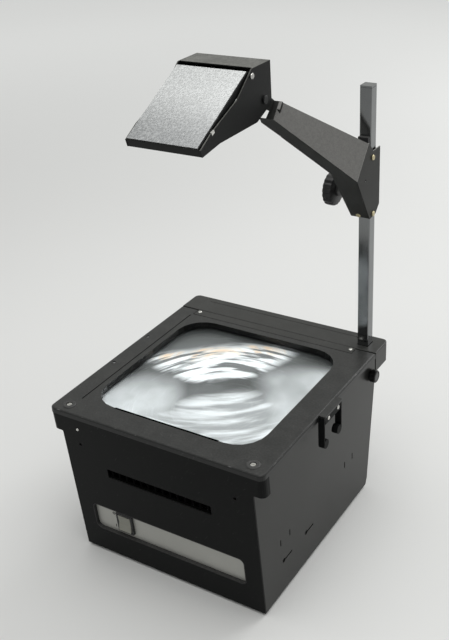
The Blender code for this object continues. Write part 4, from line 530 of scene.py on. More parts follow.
def clear_glass(name, colour, roughness, smear=0.05, shadow=0.85, index=1.5):
    """Clear glass with faint smears; it lets lamp light through to what lies under it."""
    finish = Finish(name, Transmission_Weight=1.0, IOR=index, Metallic=0.0)
    w = finish.w
    texture = finish.effect("Paint grain", Size=0.012, Drift_Size=0.06)
    passing = w.add("ShaderNodeLightPath").outputs["Is Shadow Ray"]
    finish.set("Alpha", w.minus(1.0, w.times(passing, shadow)))
    return finish.coat(w.blend(texture["Tone"], shade(colour, 0.94), colour),
                       w.scaled(texture["Tone"], smear, roughness))


materials = {}


class FinishOperator(bpy.types.Operator):
    """Shared base of the operators, with the settings at hand."""
    bl_options = {"REGISTER", "UNDO"}

    def values(self, name):
        return getattr(bpy.context.scene, "projector_" + name)


class PROJECTOR_OT_effects(FinishOperator):
    """Build the shared surface effects and the finishes"""
    bl_idname = "projector.effects"
    bl_label = "Finishes"

    def execute(self, context):
        for build in (build_grain, build_wear, build_dust, build_scratches, build_swirl):
            build()
        materials.update(self.paints())
        materials.update(self.metals())
        materials.update(self.plastics())
        materials["stage_glass"] = clear_glass(
            "Stage glass", self.values("glass").tint, 0.01, 0.03, index=1.22)
        materials["lens_glass"] = clear_glass("Lens glass", (0.95, 0.98, 0.985), 0.0, 0.02, 0.6)
        materials["swirl"] = self.grooved_sheet()
        materials["hammered"] = self.hammered_silver()
        return {"FINISHED"}

    def paints(self):
        """Stoved paints, by their short names."""
        paint = self.values("paint")
        black, arm_and_lit_side = paint.black, paint.arm_and_lit_side_black
        rough, grain, wear, dust = paint.roughness, paint.grain_size, paint.wear, paint.dust
        tab_reach = 0.0086
        lid_box = (lid_low, lid_high - RIGHT * tab_reach)
        light_from = middle_x + 0.0568
        return {
            "lid_paint": painted("Satin black lid", black, rough - 0.06, grain, 0.00005, wear, dust * 0.4,
                                 lid_box, specular=0.34),
            "black_paint": painted("Satin black paint", black, rough, grain, 0.00005, wear * 0.5,
                                   dust * 0.22, specular=0.08),
            # Painted light: a lighter black than the left side's, on the right side panel, the rear cover
            # and the hinge bar; grain and roughness are the paint's own
            "lit_side_paint": painted("Warm black paint", arm_and_lit_side, rough - 0.07, grain * 0.8, 0.00006, wear * 0.4,
                                  dust * 0.3, specular=0.30),
            # Arm: the pale grey coat is painted light on its up-facing top
            "arm_paint": wrinkled("Wrinkle grey paint", arm_and_lit_side, (0.27, 0.267, 0.255), rough, grain * 0.9,
                                  0.00018, light_from, wear * 0.12),
            "head_paint": painted("Satin black head", black, rough, grain, 0.00012, wear * 0.5, dust * 1.5,
                                  drift=0.8, specular=0.18, dust_colour=(0.36, 0.36, 0.33)),
            "lip_paint": painted("Deep black lip", black, 0.55, grain, 0.00004, 0.1, 0.0, specular=0.1),
        }

    def metals(self):
        """Plated, polished and bare metals, by their short names."""
        metal = self.values("hardware")
        head = self.values("head")
        table = {
            "galvanised": ("Galvanised sheet", (0.42, 0.43, 0.43), 0.42, 0.85, 0.4, 0.35, 0.010),
            "nickel": ("Nickel plate", metal.nickel, 0.22, 1.0, 0.25, 0.2),
            "zinc": ("Yellow zinc plate", metal.zinc, 0.34, 0.9, 0.25, 0.4, 0.003),
            "chrome": ("Scuffed chrome", head.chrome, 0.12, 1.0, 0.35, 0.3, 0.02, 0.00002),
            "silver_plate": ("Satin silver plate", head.silver_plate, 0.42, 0.45, 0.3, 0.2, 0.002),
            "reflector": ("Polished reflector", (0.78, 0.78, 0.77), 0.14, 1.0, 0.2, 0.2, 0.006),
            "mirror": ("Silvered mirror", (0.9, 0.9, 0.9), 0.06, 1.0, 0.08, 0.05, 0.05, 0.000005),
            "iron": ("Varnished core", (0.10, 0.10, 0.11), 0.45, 0.6, 0.1, 0.5, 0.0011, 0.0002),
            "copper": ("Copper winding", (0.50, 0.27, 0.12), 0.38, 0.7, 0.1, 0.5, 0.0014, 0.0003),
            "filament": ("Tungsten wire", (0.30, 0.29, 0.28), 0.35, 0.9, 0.0, 0.4, 0.001),
        }
        return {key: bare_metal(*values) for key, values in table.items()}

    def plastics(self):
        """Moulded parts, by their short names."""
        table = {
            # Near-black on the slot grille, and painted shade on the strip at the front edge of the stage
            # opening
            "grille_and_shade_black": ("Sooty grille", (0.0012, 0.0012, 0.0012), 0.9, 0.0008, 0.0002, 0.0, 0.3, 0.03),
            "plastic": ("Moulded black plastic", (0.016, 0.016, 0.017), 0.5),
            "knob_plastic": ("Black knob", (0.010, 0.010, 0.011), 0.4, 0.0012, 0.00003, 0.1),
            "knob_face": ("Grey knob face", (0.10, 0.10, 0.10), 0.45, 0.0012, 0.00005, 0.2),
            "rubber": ("Foot rubber", (0.024, 0.024, 0.024), 0.8, 0.0007, 0.0001, 0.05),
            "rocker": ("Beige rocker", self.values("head").rocker, 0.38, 0.0016, 0.00003, 0.1, 0.15),
            "ceramic": ("Lamp ceramic", (0.78, 0.76, 0.68), 0.6, 0.0012, 0.0001, 0.0, 0.15),
            "mark": ("Dark mark", (0.012, 0.012, 0.012), 0.5, 0.0008, 0.00002, 0.0),
            "insulation": ("Amber tape", (0.55, 0.38, 0.14), 0.4, 0.002, 0.0001, 0.0, 0.35),
        }
        return {key: moulded(*values) for key, values in table.items()}

    def grooved_sheet(self):
        """Acrylic lens sheet: bumped rings, with painted reflection in its colour: arc streaks and an orange
        fringe on the farthest bright ones.
        """
        glass = self.values("glass")
        finish = Finish("Grooved lens sheet with painted reflections", Transmission_Weight=0.0, IOR=1.49, Specular_IOR_Level=0.15)
        w = finish.w
        centred = w.add("ShaderNodeMapping", {"Vector": finish.place, "Location": -stage_centre})
        swirl = effect(w, "Painted groove reflections", Place=centred.outputs[0], Pitch=glass.groove_pitch,
                       Facing=math.radians(122))
        tone = w.blend(swirl["Light"], glass.dark, glass.bright)
        # Orange fringe of painted reflection along the farthest bright arcs
        fringe = w.times(w.ramp(swirl["Light"], 0.35, 0.60), w.times(swirl["Tint"], 0.6))
        tone = w.blend(fringe, tone, (0.90, 0.58, 0.30))
        finish.bump(swirl["Height"], 0.28, 0.0004)
        return finish.coat(tone, w.ramp(swirl["Light"], 0.0, 1.0, 0.38, 0.22))

    def hammered_silver(self):
        """Silver paint drawn into shallow dimples with bright ridges, with painted shade that darkens it
        towards its front edge.
        """
        head = self.values("head")
        finish = Finish("Hammered silver", Metallic=0.75, Specular_IOR_Level=0.5)
        w = finish.w
        warp = w.noise(finish.place, 260.0, 2.0)
        moved = w.vector("ADD", finish.place, w.joined(w.times(warp, 0.0016), w.times(warp, 0.0012), 0.0))
        cells = w.add("ShaderNodeTexVoronoi", {"Vector": moved, "Scale": 1.0 / head.dimple_size},
                      feature="SMOOTH_F1")
        dimple = cells.outputs["Distance"]
        fine = finish.effect("Paint grain", Size=0.0012, Drift_Size=0.03)
        tone = w.blend(w.ramp(dimple, 0.15, 0.75), shade(head.hammered, 0.88), head.hammered)
        tone = w.blend(w.times(fine["Tone"], 0.3), tone, (0.80, 0.81, 0.82))
        # Painted shade: darker towards the cover plate's front edge, patchy over the dimples
        painted_shade_near_edge = w.ramp(w.parts(finish.place)[1], plate_edge_y + 0.004, plate_edge_y + 0.080, 0.85, 0.0)
        patchy_painted_shade = w.times(painted_shade_near_edge, w.ramp(dimple, 0.1, 0.9, 1.0, 0.72))
        tone = w.blend(patchy_painted_shade, tone, (0.22, 0.225, 0.23))
        finish.bump(w.scaled(fine["Height"], 0.3, dimple), 0.17, 0.0004)
        return finish.coat(tone, w.ramp(dimple, 0.1, 0.8, 0.24, 0.34))


# Shape helpers
def as_piece(name, mesh, body, material=None, smooth_angle=None, replaced=()):
    """Puts a finished mesh in the scene on the body that carries it."""
    piece = bpy.data.objects.new(name, mesh)
    bpy.context.scene.collection.objects.link(piece)
    if material:
        mesh.materials.clear()
        mesh.materials.append(materials[material])
    if smooth_angle:
        mesh.shade_smooth()
        mesh.set_sharp_from_angle(angle=math.radians(smooth_angle))
    if replaced:
        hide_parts(*replaced)
    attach(piece, body)
    return piece


def as_mesh(name, work):
    """Mesh of a work shape, which is freed."""
    mesh = bpy.data.meshes.new(name)
    work.to_mesh(mesh)
    work.free()
    return mesh


def filled_mesh(name, work):
    """Mesh of a closed work shape with its doubles merged and its faces turned outwards."""
    bmesh.ops.remove_doubles(work, verts=work.verts, dist=MERGE)
    bmesh.ops.recalc_face_normals(work, faces=work.faces)
    return as_mesh(name, work)


def closed_piece(name, work, body, material, smooth_angle=None, replaced=()):
    """Puts a closed work shape in the scene as a piece of its own."""
    return as_piece(name, filled_mesh(name, work), body, material, smooth_angle, replaced)


def turned_piece(name, body, slot, material, profile, steps, place, axis, angle=30, replaced=(), **rim):
    """Piece of one turned profile."""
    work = bmesh.new()
    lathe(work, profile, steps, place, axis, **rim)
    return closed_piece(name, work, body, material, angle, replaced)


def swept_piece(name, body, material, corners, along):
    """Piece of one flat ring of corners, swept by a vector."""
    work = bmesh.new()
    slab(work, corners, along)
    return closed_piece(name, work, body, material)


def smoothed(node, material, angle=38):
    """Rounds the shading of a turned CAD piece by a merged copy that stands for it."""
    work = bmesh.new()
    work.from_mesh(nodes[node].data)
    bmesh.ops.remove_doubles(work, verts=work.verts, dist=MERGE)
    bmesh.ops.dissolve_limit(work, angle_limit=math.radians(0.5), verts=work.verts, edges=work.edges)
    mesh = as_mesh(node + "_smooth", work)
    body = nodes[node]["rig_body"]
    return as_piece(node + "_smooth", mesh, body, material, angle, (node,))


def lathe(work, profile, steps, place, axis, flutes=0, depth=0.0, fluted=()):
    """Turns a closed profile of (radius, height) round an axis through a place.

    The rings listed in fluted get hollows of the given depth round their rim.
    """
    turn = axis.normalized().to_track_quat("Z", "Y").to_matrix()
    rings = []
    for index, (radius, height) in enumerate(profile):
        if radius == 0:
            rings.append([work.verts.new(place + turn @ Vector((0, 0, height)))])
            continue
        ring = []
        for step in range(steps):
            angle = math.tau * step / steps
            reach = radius
            if index in fluted:
                reach -= depth * (0.5 + 0.5 * math.cos(angle * flutes)) ** 1.6
            spot = Vector((reach * math.cos(angle), reach * math.sin(angle), height))
            ring.append(work.verts.new(place + turn @ spot))
        rings.append(ring)
    for lower, upper in zip(rings, rings[1:]):
        for step in range(steps):
            after = (step + 1) % steps
            if len(lower) == 1 and len(upper) == 1:
                continue
            if len(lower) == 1:
                work.faces.new((lower[0], upper[step], upper[after]))
            elif len(upper) == 1:
                work.faces.new((lower[step], lower[after], upper[0]))
            else:
                work.faces.new((lower[step], lower[after], upper[after], upper[step]))


def slab(work, corners, along):
    """Prism from a flat ring of corners, swept by a vector."""
    low = [work.verts.new(corner) for corner in corners]
    high = [work.verts.new(corner + along) for corner in corners]
    count = len(corners)
    work.faces.new(low[::-1])
    work.faces.new(high)
    for index in range(count):
        after = (index + 1) % count
        work.faces.new((low[index], low[after], high[after], high[index]))


def tube(work, path, radius, steps=8):
    """Round wire along a path, closed at both ends."""
    rings = []
    for index, point in enumerate(path):
        before = path[max(index - 1, 0)]
        after = path[min(index + 1, len(path) - 1)]
        turn = (after - before).normalized().to_track_quat("Z", "Y").to_matrix()
        ring = []
        for step in range(steps):
            angle = math.tau * step / steps
            spot = Vector((radius * math.cos(angle), radius * math.sin(angle), 0))
            ring.append(work.verts.new(point + turn @ spot))
        rings.append(ring)
    work.faces.new(rings[0][::-1])
    work.faces.new(rings[-1])
    for lower, upper in zip(rings, rings[1:]):
        for step in range(steps):
            after = (step + 1) % steps
            work.faces.new((lower[step], lower[after], upper[after], upper[step]))


def dress(material, *names):
    """Gives CAD nodes their finish."""
    for name in names:
        data = nodes[name].data
        data.materials.clear()
        data.materials.append(materials[material])


# Geometry node trees
def input_key(tree, label):
    """Identifier of a tree's named input."""
    for item in tree.interface.items_tree:
        if item.item_type == "SOCKET" and item.in_out == "INPUT" and item.name == label:
            return item.identifier
    raise KeyError(label)


def screw_tree():
    """Round slotted heads on marked points, each turned by its own chance angle."""
    w, source, target = tree_with(
        "GeometryNodeTree", "Slotted heads",
        [("Points", "g", None), ("Head Radius", "f", 0.003), ("Head Height", "f", 0.0014),
         ("Slot Width", "f", 0.0008), ("Seed", "i", 3), ("Finish", "m", None)],
        [("Heads", "g")])
    dome = w.add("GeometryNodeMeshUVSphere", {"Segments": 20, "Rings": 12, "Radius": 1.0})
    size = w.joined(source["Head Radius"], source["Head Radius"], source["Head Height"])
    squat = w.add("GeometryNodeTransform", {"Geometry": dome.outputs["Mesh"], "Scale": size})
    width = w.times(source["Head Radius"], 4.0)
    under = w.add("GeometryNodeMeshCube", {"Size": w.joined(width, width, width)})
    drop = w.times(width, -0.5)
    under_placed = w.add("GeometryNodeTransform", {"Geometry": under.outputs["Mesh"],
                                                   "Translation": w.joined(0.0, 0.0, drop)})
    deep = w.times(source["Head Height"], 1.1)
    slot_box = w.add("GeometryNodeMeshCube", {"Size": w.joined(width, source["Slot Width"], deep)})
    slot_placed = w.add("GeometryNodeTransform", {"Geometry": slot_box.outputs["Mesh"],
                                                  "Translation": w.joined(0.0, 0.0, source["Head Height"])})
    head = w.add("GeometryNodeMeshBoolean", operation="DIFFERENCE")
    w.feed(head.inputs["Mesh 1"], squat.outputs[0])
    w.feed(head.inputs["Mesh 2"], under_placed.outputs[0])
    w.feed(head.inputs["Mesh 2"], slot_placed.outputs[0])
    facing = w.add("GeometryNodeInputNamedAttribute", {"Name": "facing"}, data_type="FLOAT_VECTOR")
    aligned = w.add("FunctionNodeAlignRotationToVector", {"Vector": facing.outputs["Attribute"]}, axis="Z")
    chance = w.add("FunctionNodeRandomValue", data_type="FLOAT")
    w.feed(chance.inputs[3], math.pi)
    w.feed(chance.inputs["Seed"], source["Seed"])
    spin = w.add("FunctionNodeEulerToRotation", {0: w.joined(0.0, 0.0, chance.outputs[1])})
    turned = w.add("FunctionNodeRotateRotation", {
        "Rotation": aligned.outputs[0], "Rotate By": spin.outputs[0]}, rotation_space="LOCAL")
    placed = w.add("GeometryNodeInstanceOnPoints", {
        "Points": source["Points"], "Instance": head.outputs[0], "Rotation": turned.outputs[0]})
    real = w.add("GeometryNodeRealizeInstances", {"Geometry": placed.outputs[0]})
    covered = w.add("GeometryNodeSetMaterial", {
        "Geometry": real.outputs[0], "Material": source["Finish"]})
    w.feed(target["Heads"], covered.outputs[0])
    return w.tree


def rib_tree():
    """Grip ribs set round a circle in the plane across Z, at the points of a ring."""
    w, source, target = tree_with(
        "GeometryNodeTree", "Grip ribs",
        [("Core", "g", None), ("Count", "i", 30), ("Radius", "f", 0.009), ("Rib Length", "f", 0.008),
         ("Rib Width", "f", 0.0009), ("Rib Rise", "f", 0.0005), ("Finish", "m", None)],
        [("Ribs", "g")])
    ring = w.add("GeometryNodeMeshCircle", {"Vertices": source["Count"], "Radius": source["Radius"]})
    size = w.joined(source["Rib Rise"], source["Rib Width"], source["Rib Length"])
    rib = w.add("GeometryNodeMeshCube", {"Size": size})
    place = w.add("GeometryNodeInputPosition").outputs[0]
    aligned = w.add("FunctionNodeAlignRotationToVector", {"Vector": place}, axis="X")
    placed = w.add("GeometryNodeInstanceOnPoints", {
        "Points": ring.outputs[0], "Instance": rib.outputs["Mesh"], "Rotation": aligned.outputs[0]})
    real = w.add("GeometryNodeRealizeInstances", {"Geometry": placed.outputs[0]})
    joined = w.add("GeometryNodeJoinGeometry")
    w.feed(joined.inputs[0], real.outputs[0])
    w.feed(joined.inputs[0], source["Core"])
    covered = w.add("GeometryNodeSetMaterial", {"Geometry": joined.outputs[0], "Material": source["Finish"]})
    w.feed(target["Ribs"], covered.outputs[0])
    return w.tree


def grown(name, mesh, tree, **inputs):
    """Plain mesh that a node tree makes from a start mesh."""
    seed = bpy.data.objects.new(name + "_start", mesh)
    bpy.context.scene.collection.objects.link(seed)
    modifier = seed.modifiers.new("Shape", "NODES")
    modifier.node_group = tree
    for label, value in inputs.items():
        modifier[input_key(tree, label.replace("_", " "))] = value
    graph = bpy.context.evaluated_depsgraph_get()
    graph.update()
    made = bpy.data.meshes.new_from_object(seed.evaluated_get(graph))
    made.name = name
    bpy.data.objects.remove(seed)
    if not made.polygons:
        raise RuntimeError(name + " came out empty")
    return made


def screws(name, body, places, material, radius, height, width, seed):
    """Slotted heads at (place, facing) pairs, on one body."""
    mesh = bpy.data.meshes.new(name + "_points")
    mesh.from_pydata([tuple(place) for place, _ in places], [], [])
    facing = mesh.attributes.new("facing", "FLOAT_VECTOR", "POINT")
    for index, (_, direction) in enumerate(places):
        facing.data[index].vector = direction
    made = grown(name, mesh, bpy.data.node_groups["Slotted heads"], Head_Radius=radius, Head_Height=height,
                 Slot_Width=width, Seed=seed, Finish=materials[material])
    return as_piece(name, made, body, None, 40)


# The pieces
def front_y(height):
    """Y of the leaning front panel's outer face at a height."""
    return lid_low.y + (top_z - height) * front_lean


class PROJECTOR_OT_box(FinishOperator):
    """Paint the box, its feet, rear cover and rail, and add the front rivet and rear screws"""
    bl_idname = "projector.box"
    bl_label = "Box and panels"

    def execute(self, context):
        dress("black_paint", "front_panel", "rear_panel", "side_panel_left")
        # The lighter black here is painted light on the right and rear
        dress("lit_side_paint", "side_panel_right", "rear_cover", "hinge_bar")
        dress("galvanised", "base_plate", "rear_rail", "corner_block_left", "corner_block_right",
              "post_socket")
        dress("grille_and_shade_black", "slot_grille")
        dress("plastic", "mains_inlet")
        for side in ("front_left", "front_right", "rear_left", "rear_right"):
            smoothed("foot_" + side, "rubber")
        dress("nickel", "hinge_pin_left", "hinge_pin_right")
        self.add_rivet()
        self.add_rear_screws()
        self.add_base_screws()
        return {"FINISHED"}

    def add_rivet(self):
        """Bright domed rivet near the front panel's left upper corner."""
        height = 0.2173
        outward = Vector((0, -1, -front_lean)).normalized()
        place = Vector((middle_x - 0.119, front_y(height), height)) - outward * SEAT
        profile = [(0, -0.0006), (0.0021, -0.0006), (0.0021, 0.0002), (0.0019, 0.0007), (0.0014, 0.0011),
                   (0.0008, 0.0013), (0, 0.00135)]
        turned_piece("front_rivet", "frame", "bright_steel", "nickel", profile, 20, place, outward, 35)

    def add_rear_screws(self):
        """Screws down both sides of the rear panel."""
        slope = (rear_high.y - rear_low.y) / (rear_high.z - rear_low.z)
        outward = Vector((0, 1, -slope)).normalized()
        places = []
        for side in (-1, 1):
            for height in (0.024, 0.120, 0.196):
                y = rear_high.y - (rear_high.z - height) * slope
                places.append((Vector((middle_x + side * 0.134, y, height)) - outward * SEAT, outward))
        screws("rear_panel_screws", "frame", places, "nickel",
               radius=0.0033, height=0.0013, width=0.0008, seed=5)

    def add_base_screws(self):
        """Screw in the hollow of each corner under the base."""
        low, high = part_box("base_plate")
        places = [(Vector((x, y, low.z)), -UP) for x in (low.x + 0.05, high.x - 0.05)
                  for y in (low.y + 0.012, high.y - 0.012)]
        screws("base_screws", "frame", places, "zinc",
               radius=0.0032, height=0.0012, width=0.0008, seed=7)


class PROJECTOR_OT_rear_fold(FinishOperator):
    """Fold of sheet that closes the box between the base and the rear wall"""
    bl_idname = "projector.rear_fold"
    bl_label = "Rear fold"

    def execute(self, context):
        base_low, base_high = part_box("base_plate")
        wall_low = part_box("rear_panel")[0]
        sheet, side_gap = 0.0010, 0.0006
        left = base_low.x + side_gap
        low, high = base_low.z + 0.0004, wall_low.z + 0.0008
        low_y, high_y = base_high.y - SEAT, wall_low.y + 0.0004
        corners = [Vector((left, y, z)) for y, z in (
            (low_y - sheet, low), (low_y, low), (high_y + sheet, high), (high_y, high))]
        along = RIGHT * (base_high.x - base_low.x - 2 * side_gap)
        swept_piece("rear_fold", "frame", "black_paint", corners, along)
        return {"FINISHED"}


class PROJECTOR_OT_stage(FinishOperator):
    """Finish the lid with its glass, grooved lens sheet, bushes and captive screws"""
    bl_idname = "projector.stage"
    bl_label = "Glass stage and lid"

    def execute(self, context):
        dress("lid_paint", "stage_lid")
        dress("stage_glass", "stage_glass")
        dress("swirl", "fresnel_lens")
        dress("plastic", "glass_retainer")
        dress("lip_paint", "roll_bracket")
        for side in ("left", "right"):
            smoothed("cup_washer_" + side, "plastic")
            smoothed("lid_screw_" + side, "nickel")
        self.add_bushes()
        self.add_bar_screws()
        self.add_bracket_lip()
        self.add_shade_strip()
        return {"FINISHED"}

    def add_bushes(self):
        """Plastic bush with a metal cup in each roll peg hole at the left of the stage."""
        bush = [(0.0021, -0.0070), (0.0021, -0.0006), (0.0024, 0.0002), (0.0040, 0.0004),
                (0.0047, 0.00002), (0.0041, -0.0002), (0.0041, -0.0070), (0.0021, -0.0070)]
        cup = [(0, -0.0060), (0.00208, -0.0060), (0.00208, -0.0012), (0.0013, -0.0007), (0, -0.0006)]
        bushes, cups = bmesh.new(), bmesh.new()
        for y in (-0.0488, 0.0323):
            place = Vector((middle_x - 0.1535, y, top_z))
            lathe(bushes, bush, 28, place, UP)
            lathe(cups, cup, 24, place, UP)
        closed_piece("peg_bushes", bushes, "stage_lid", "knob_plastic", 35)
        closed_piece("peg_cores", cups, "stage_lid", "galvanised", 35)

    def add_bar_screws(self):
        """Bright screw near each end of the fixed bar."""
        places = [(Vector((middle_x + side * 0.1262, 0.1305, bar_high.z - SEAT)), UP) for side in (-1, 1)]
        screws("bar_screws", "frame", places, "nickel",
               radius=0.0031, height=0.0013, width=0.0008, seed=4)

    def add_bracket_lip(self):
        """Turned-down lip under the tab's outer edge, with the two bright screws of the roll bracket."""
        x, top = bracket_high.x, top_z - 0.0034
        near, far, taper, drop = -0.0340, 0.0110, 0.002, 0.0105
        corners = [Vector((x - 0.0016, y, z)) for y, z in (
            (near, top), (near + taper, top - drop), (far - taper, top - drop), (far, top))]
        swept_piece("bracket_lip", "stage_lid", "lip_paint", corners, RIGHT * 0.0014)
        places = [(Vector((x - 0.0003, y, top - 0.0052)), RIGHT) for y in (-0.0235, 0.0035)]
        screws("bracket_screws", "stage_lid", places, "nickel",
               radius=0.0027, height=0.0012, width=0.0007, seed=9)

    def add_shade_strip(self):
        """Thin near-black strip seated in the notch at the front edge of the opening, as painted shade for
        the shadowed gap there.
        """
        half_opening, start, run = 0.125, middle_x - 0.0808, 0.1586
        edge = stage_centre.y - half_opening
        outline = [(-0.0019, -0.0029), (0.0014, -0.0029), (0.0018, -0.0006), (0.0012, -0.0001),
                   (-0.0019, -0.0001)]
        corners = [Vector((start, edge + y, top_z + z)) for y, z in outline]
        swept_piece("shade_strip", "stage_lid", "grille_and_shade_black", corners, RIGHT * run)


class PROJECTOR_OT_controls(FinishOperator):
    """Finish the silver plate, the switch and its plain on and off marks"""
    bl_idname = "projector.controls"
    bl_label = "Control plate"

    def execute(self, context):
        dress("silver_plate", "control_plate")
        dress("plastic", "control_surround", "switch_body")
        dress("rocker", "rocker")
        self.add_marks()
        return {"FINISHED"}

    def add_marks(self):
        """Printed ring and bar beside the rocker, a hair above the plate."""
        outward = Vector((0, -1, -front_lean)).normalized()
        upward = Vector((0, -front_lean, 1)).normalized()
        marks_x, ring_z, bar_z = middle_x - 0.0900, 0.0785, 0.0560
        half_width, half_height, under, over = 0.0006, 0.0024, 0.0003, 0.00012

        def on_plate(height):
            return Vector((marks_x, plate_low.y + (plate_high.z - height) * front_lean, height))

        work = bmesh.new()
        lathe(work, [(0.0012, -0.0003), (0.0012, 0.00015), (0.0024, 0.00015), (0.0024, -0.0003),
                     (0.0012, -0.0003)], 28, on_plate(ring_z), outward)
        centre = on_plate(bar_z)
        corners = [centre + RIGHT * u + upward * v - outward * under
                   for u, v in ((-half_width, -half_height), (half_width, -half_height),
                                (half_width, half_height), (-half_width, half_height))]
        slab(work, corners, outward * (under + over))
        closed_piece("switch_marks", work, "frame", "mark")


class PROJECTOR_OT_arm(FinishOperator):
    """Finish the post, the carriage and the arm, and add the arm's front screw"""
    bl_idname = "projector.arm"
    bl_label = "Post and arm"

    def execute(self, context):
        dress("chrome", "post", "post_cap")
        dress("arm_paint", "arm")
        dress("black_paint", "carriage_bracket")
        dress("plastic", "guide_shoe")
        for name in ("carriage_screw_upper", "carriage_screw_lower"):
            smoothed(name, "zinc")
        outward = Vector((0, -0.857, -0.514)).normalized()
        place = Vector((middle_x + 0.1316, 0.1390, 0.4413)) - outward * SEAT
        screws("arm_front_screw", "carriage", [(place, outward)], "zinc",
               radius=0.0033, height=0.0014, width=0.0008, seed=6)
        return {"FINISHED"}


class PROJECTOR_OT_knobs(FinishOperator):
    """Build the fluted focus knob and the ribbed clamp knob"""
    bl_idname = "projector.knobs"
    bl_label = "Knobs"

    def execute(self, context):
        smoothed("focus_shaft", "nickel")
        self.add_focus_knob()
        self.add_clamp_knob()
        return {"FINISHED"}

    def add_focus_knob(self):
        """Large black knob with hollows round its rim, a dished face and a raised cap."""
        metal = self.values("hardware")
        centre = (knob_low + knob_high) / 2
        radius = (knob_high.z - knob_low.z) / 2
        length = knob_high.x - knob_low.x
        bore, bore_end = 0.0031, 0.0030
        profile = [
            (0, 0.0006), (radius * 0.34, 0.0006), (radius * 0.38, 0.0012), (radius * 0.42, 0.0022),
            (radius * 0.80, 0.0012), (radius * 0.86, 0), (radius * 0.93, 0.0002), (radius * 0.98, 0.0009),
            (radius, 0.0022), (radius, length * 0.55), (radius * 0.975, length * 0.74),
            (radius * 0.90, length * 0.78), (radius * 0.45, length * 0.80), (radius * 0.41, length * 0.84),
            (radius * 0.39, length), (bore, length), (bore, bore_end), (0, bore_end),
        ]
        turned_piece("focus_knob_fluted", "focus_wheel", "black_plastic", "knob_plastic", profile,
                     metal.knob_flutes * 8, Vector((knob_low.x, centre.y, centre.z)), RIGHT, 30,
                     ("focus_knob",), flutes=metal.knob_flutes, depth=metal.flute_depth,
                     fluted=(6, 7, 8, 9, 10))

    def add_clamp_knob(self):
        """Small knob with grip ribs, a cap in its end that is grey as painted light on the face turned to
        the right, and a bright shank.
        """
        centre = (clamp_low + clamp_high) / 2
        start = middle_x + 0.1463
        length = clamp_high.x - start
        core = (clamp_high.z - clamp_low.z) / 2 - 0.0005
        rim, dish = length - 0.0001, length - 0.0009
        work = bmesh.new()
        profile = [(0, 0), (core * 0.7, 0), (core, 0.0008), (core, length - 0.001), (core * 0.9, rim),
                   (core * 0.78, rim), (core * 0.74, dish), (0, dish)]
        lathe(work, profile, 40, Vector((0, 0, -length / 2)), UP)
        made = grown("clamp_knob_ribbed", filled_mesh("clamp_core", work), rib_tree(),
                     Count=self.values("hardware").clamp_ribs, Radius=core, Rib_Length=length - 0.0026,
                     Rib_Width=0.0009, Rib_Rise=0.00095, Finish=materials["knob_plastic"])
        place = Matrix.Translation((start + length / 2, centre.y, centre.z))
        made.transform(place @ Matrix.Rotation(math.radians(90), 4, "Y"))
        as_piece("clamp_knob_ribbed", made, "clamp_knob", None, 30)
        face = core * 0.72
        # Painted light: the cap is grey while the knob is black, for the light on its right face
        turned_piece("clamp_cap", "clamp_knob", "black_plastic", "knob_face",
                     [(0, -0.0014), (face, -0.0014), (face, -0.0006), (face - 0.0005, -0.0003),
                      (0, -0.0002)],
                     32, Vector((clamp_high.x, centre.y, centre.z)), RIGHT)
        shank = start - clamp_low.x + 0.001
        turned_piece("clamp_shank", "clamp_knob", "bright_steel", "nickel",
                     [(0, 0), (0.0027, 0), (0.0030, 0.0004), (0.0030, shank), (0, shank)],
                     24, Vector((clamp_low.x, centre.y, centre.z)), RIGHT, 30, ("clamp_knob",))


class PROJECTOR_OT_head(FinishOperator):
    """Finish the projection head, its lens and the folding mirror cover, and add its spring clip"""
    bl_idname = "projector.head"
    bl_label = "Projection head"

    def execute(self, context):
        dress("head_paint", "head_housing")
        dress("black_paint", "mirror_cover")
        dress("hammered", "cover_plate")
        dress("mirror", "mirror")
        smoothed("objective_barrel", "plastic")
        smoothed("objective_lens", "lens_glass")
        smoothed("head_bolt", "knob_plastic")
        for side in ("left", "right"):
            smoothed("hinge_screw_" + side, "nickel")
        self.add_clip()
        return {"FINISHED"}

    def add_clip(self):
        """Bright spring clip hooked over the right side plate's edge."""
        start = Vector((head_high.x, -0.0735, 0.60676))
        slope = Vector((0, 0.0590, 0.0225)).normalized()
        normal = Vector((0, -slope.z, slope.y))
        thick, width, top, reach, foot = 0.0004, 0.0056, 0.0004, -0.0018, -0.0034
        outline = [(thick, foot), (thick, top), (reach, top), (reach, top - thick), (0.00004, top - thick),
                   (0.00004, foot)]
        corners = [start + RIGHT * x + normal * up for x, up in outline]
        swept_piece("cover_clip", "head", "nickel", corners, slope * width)


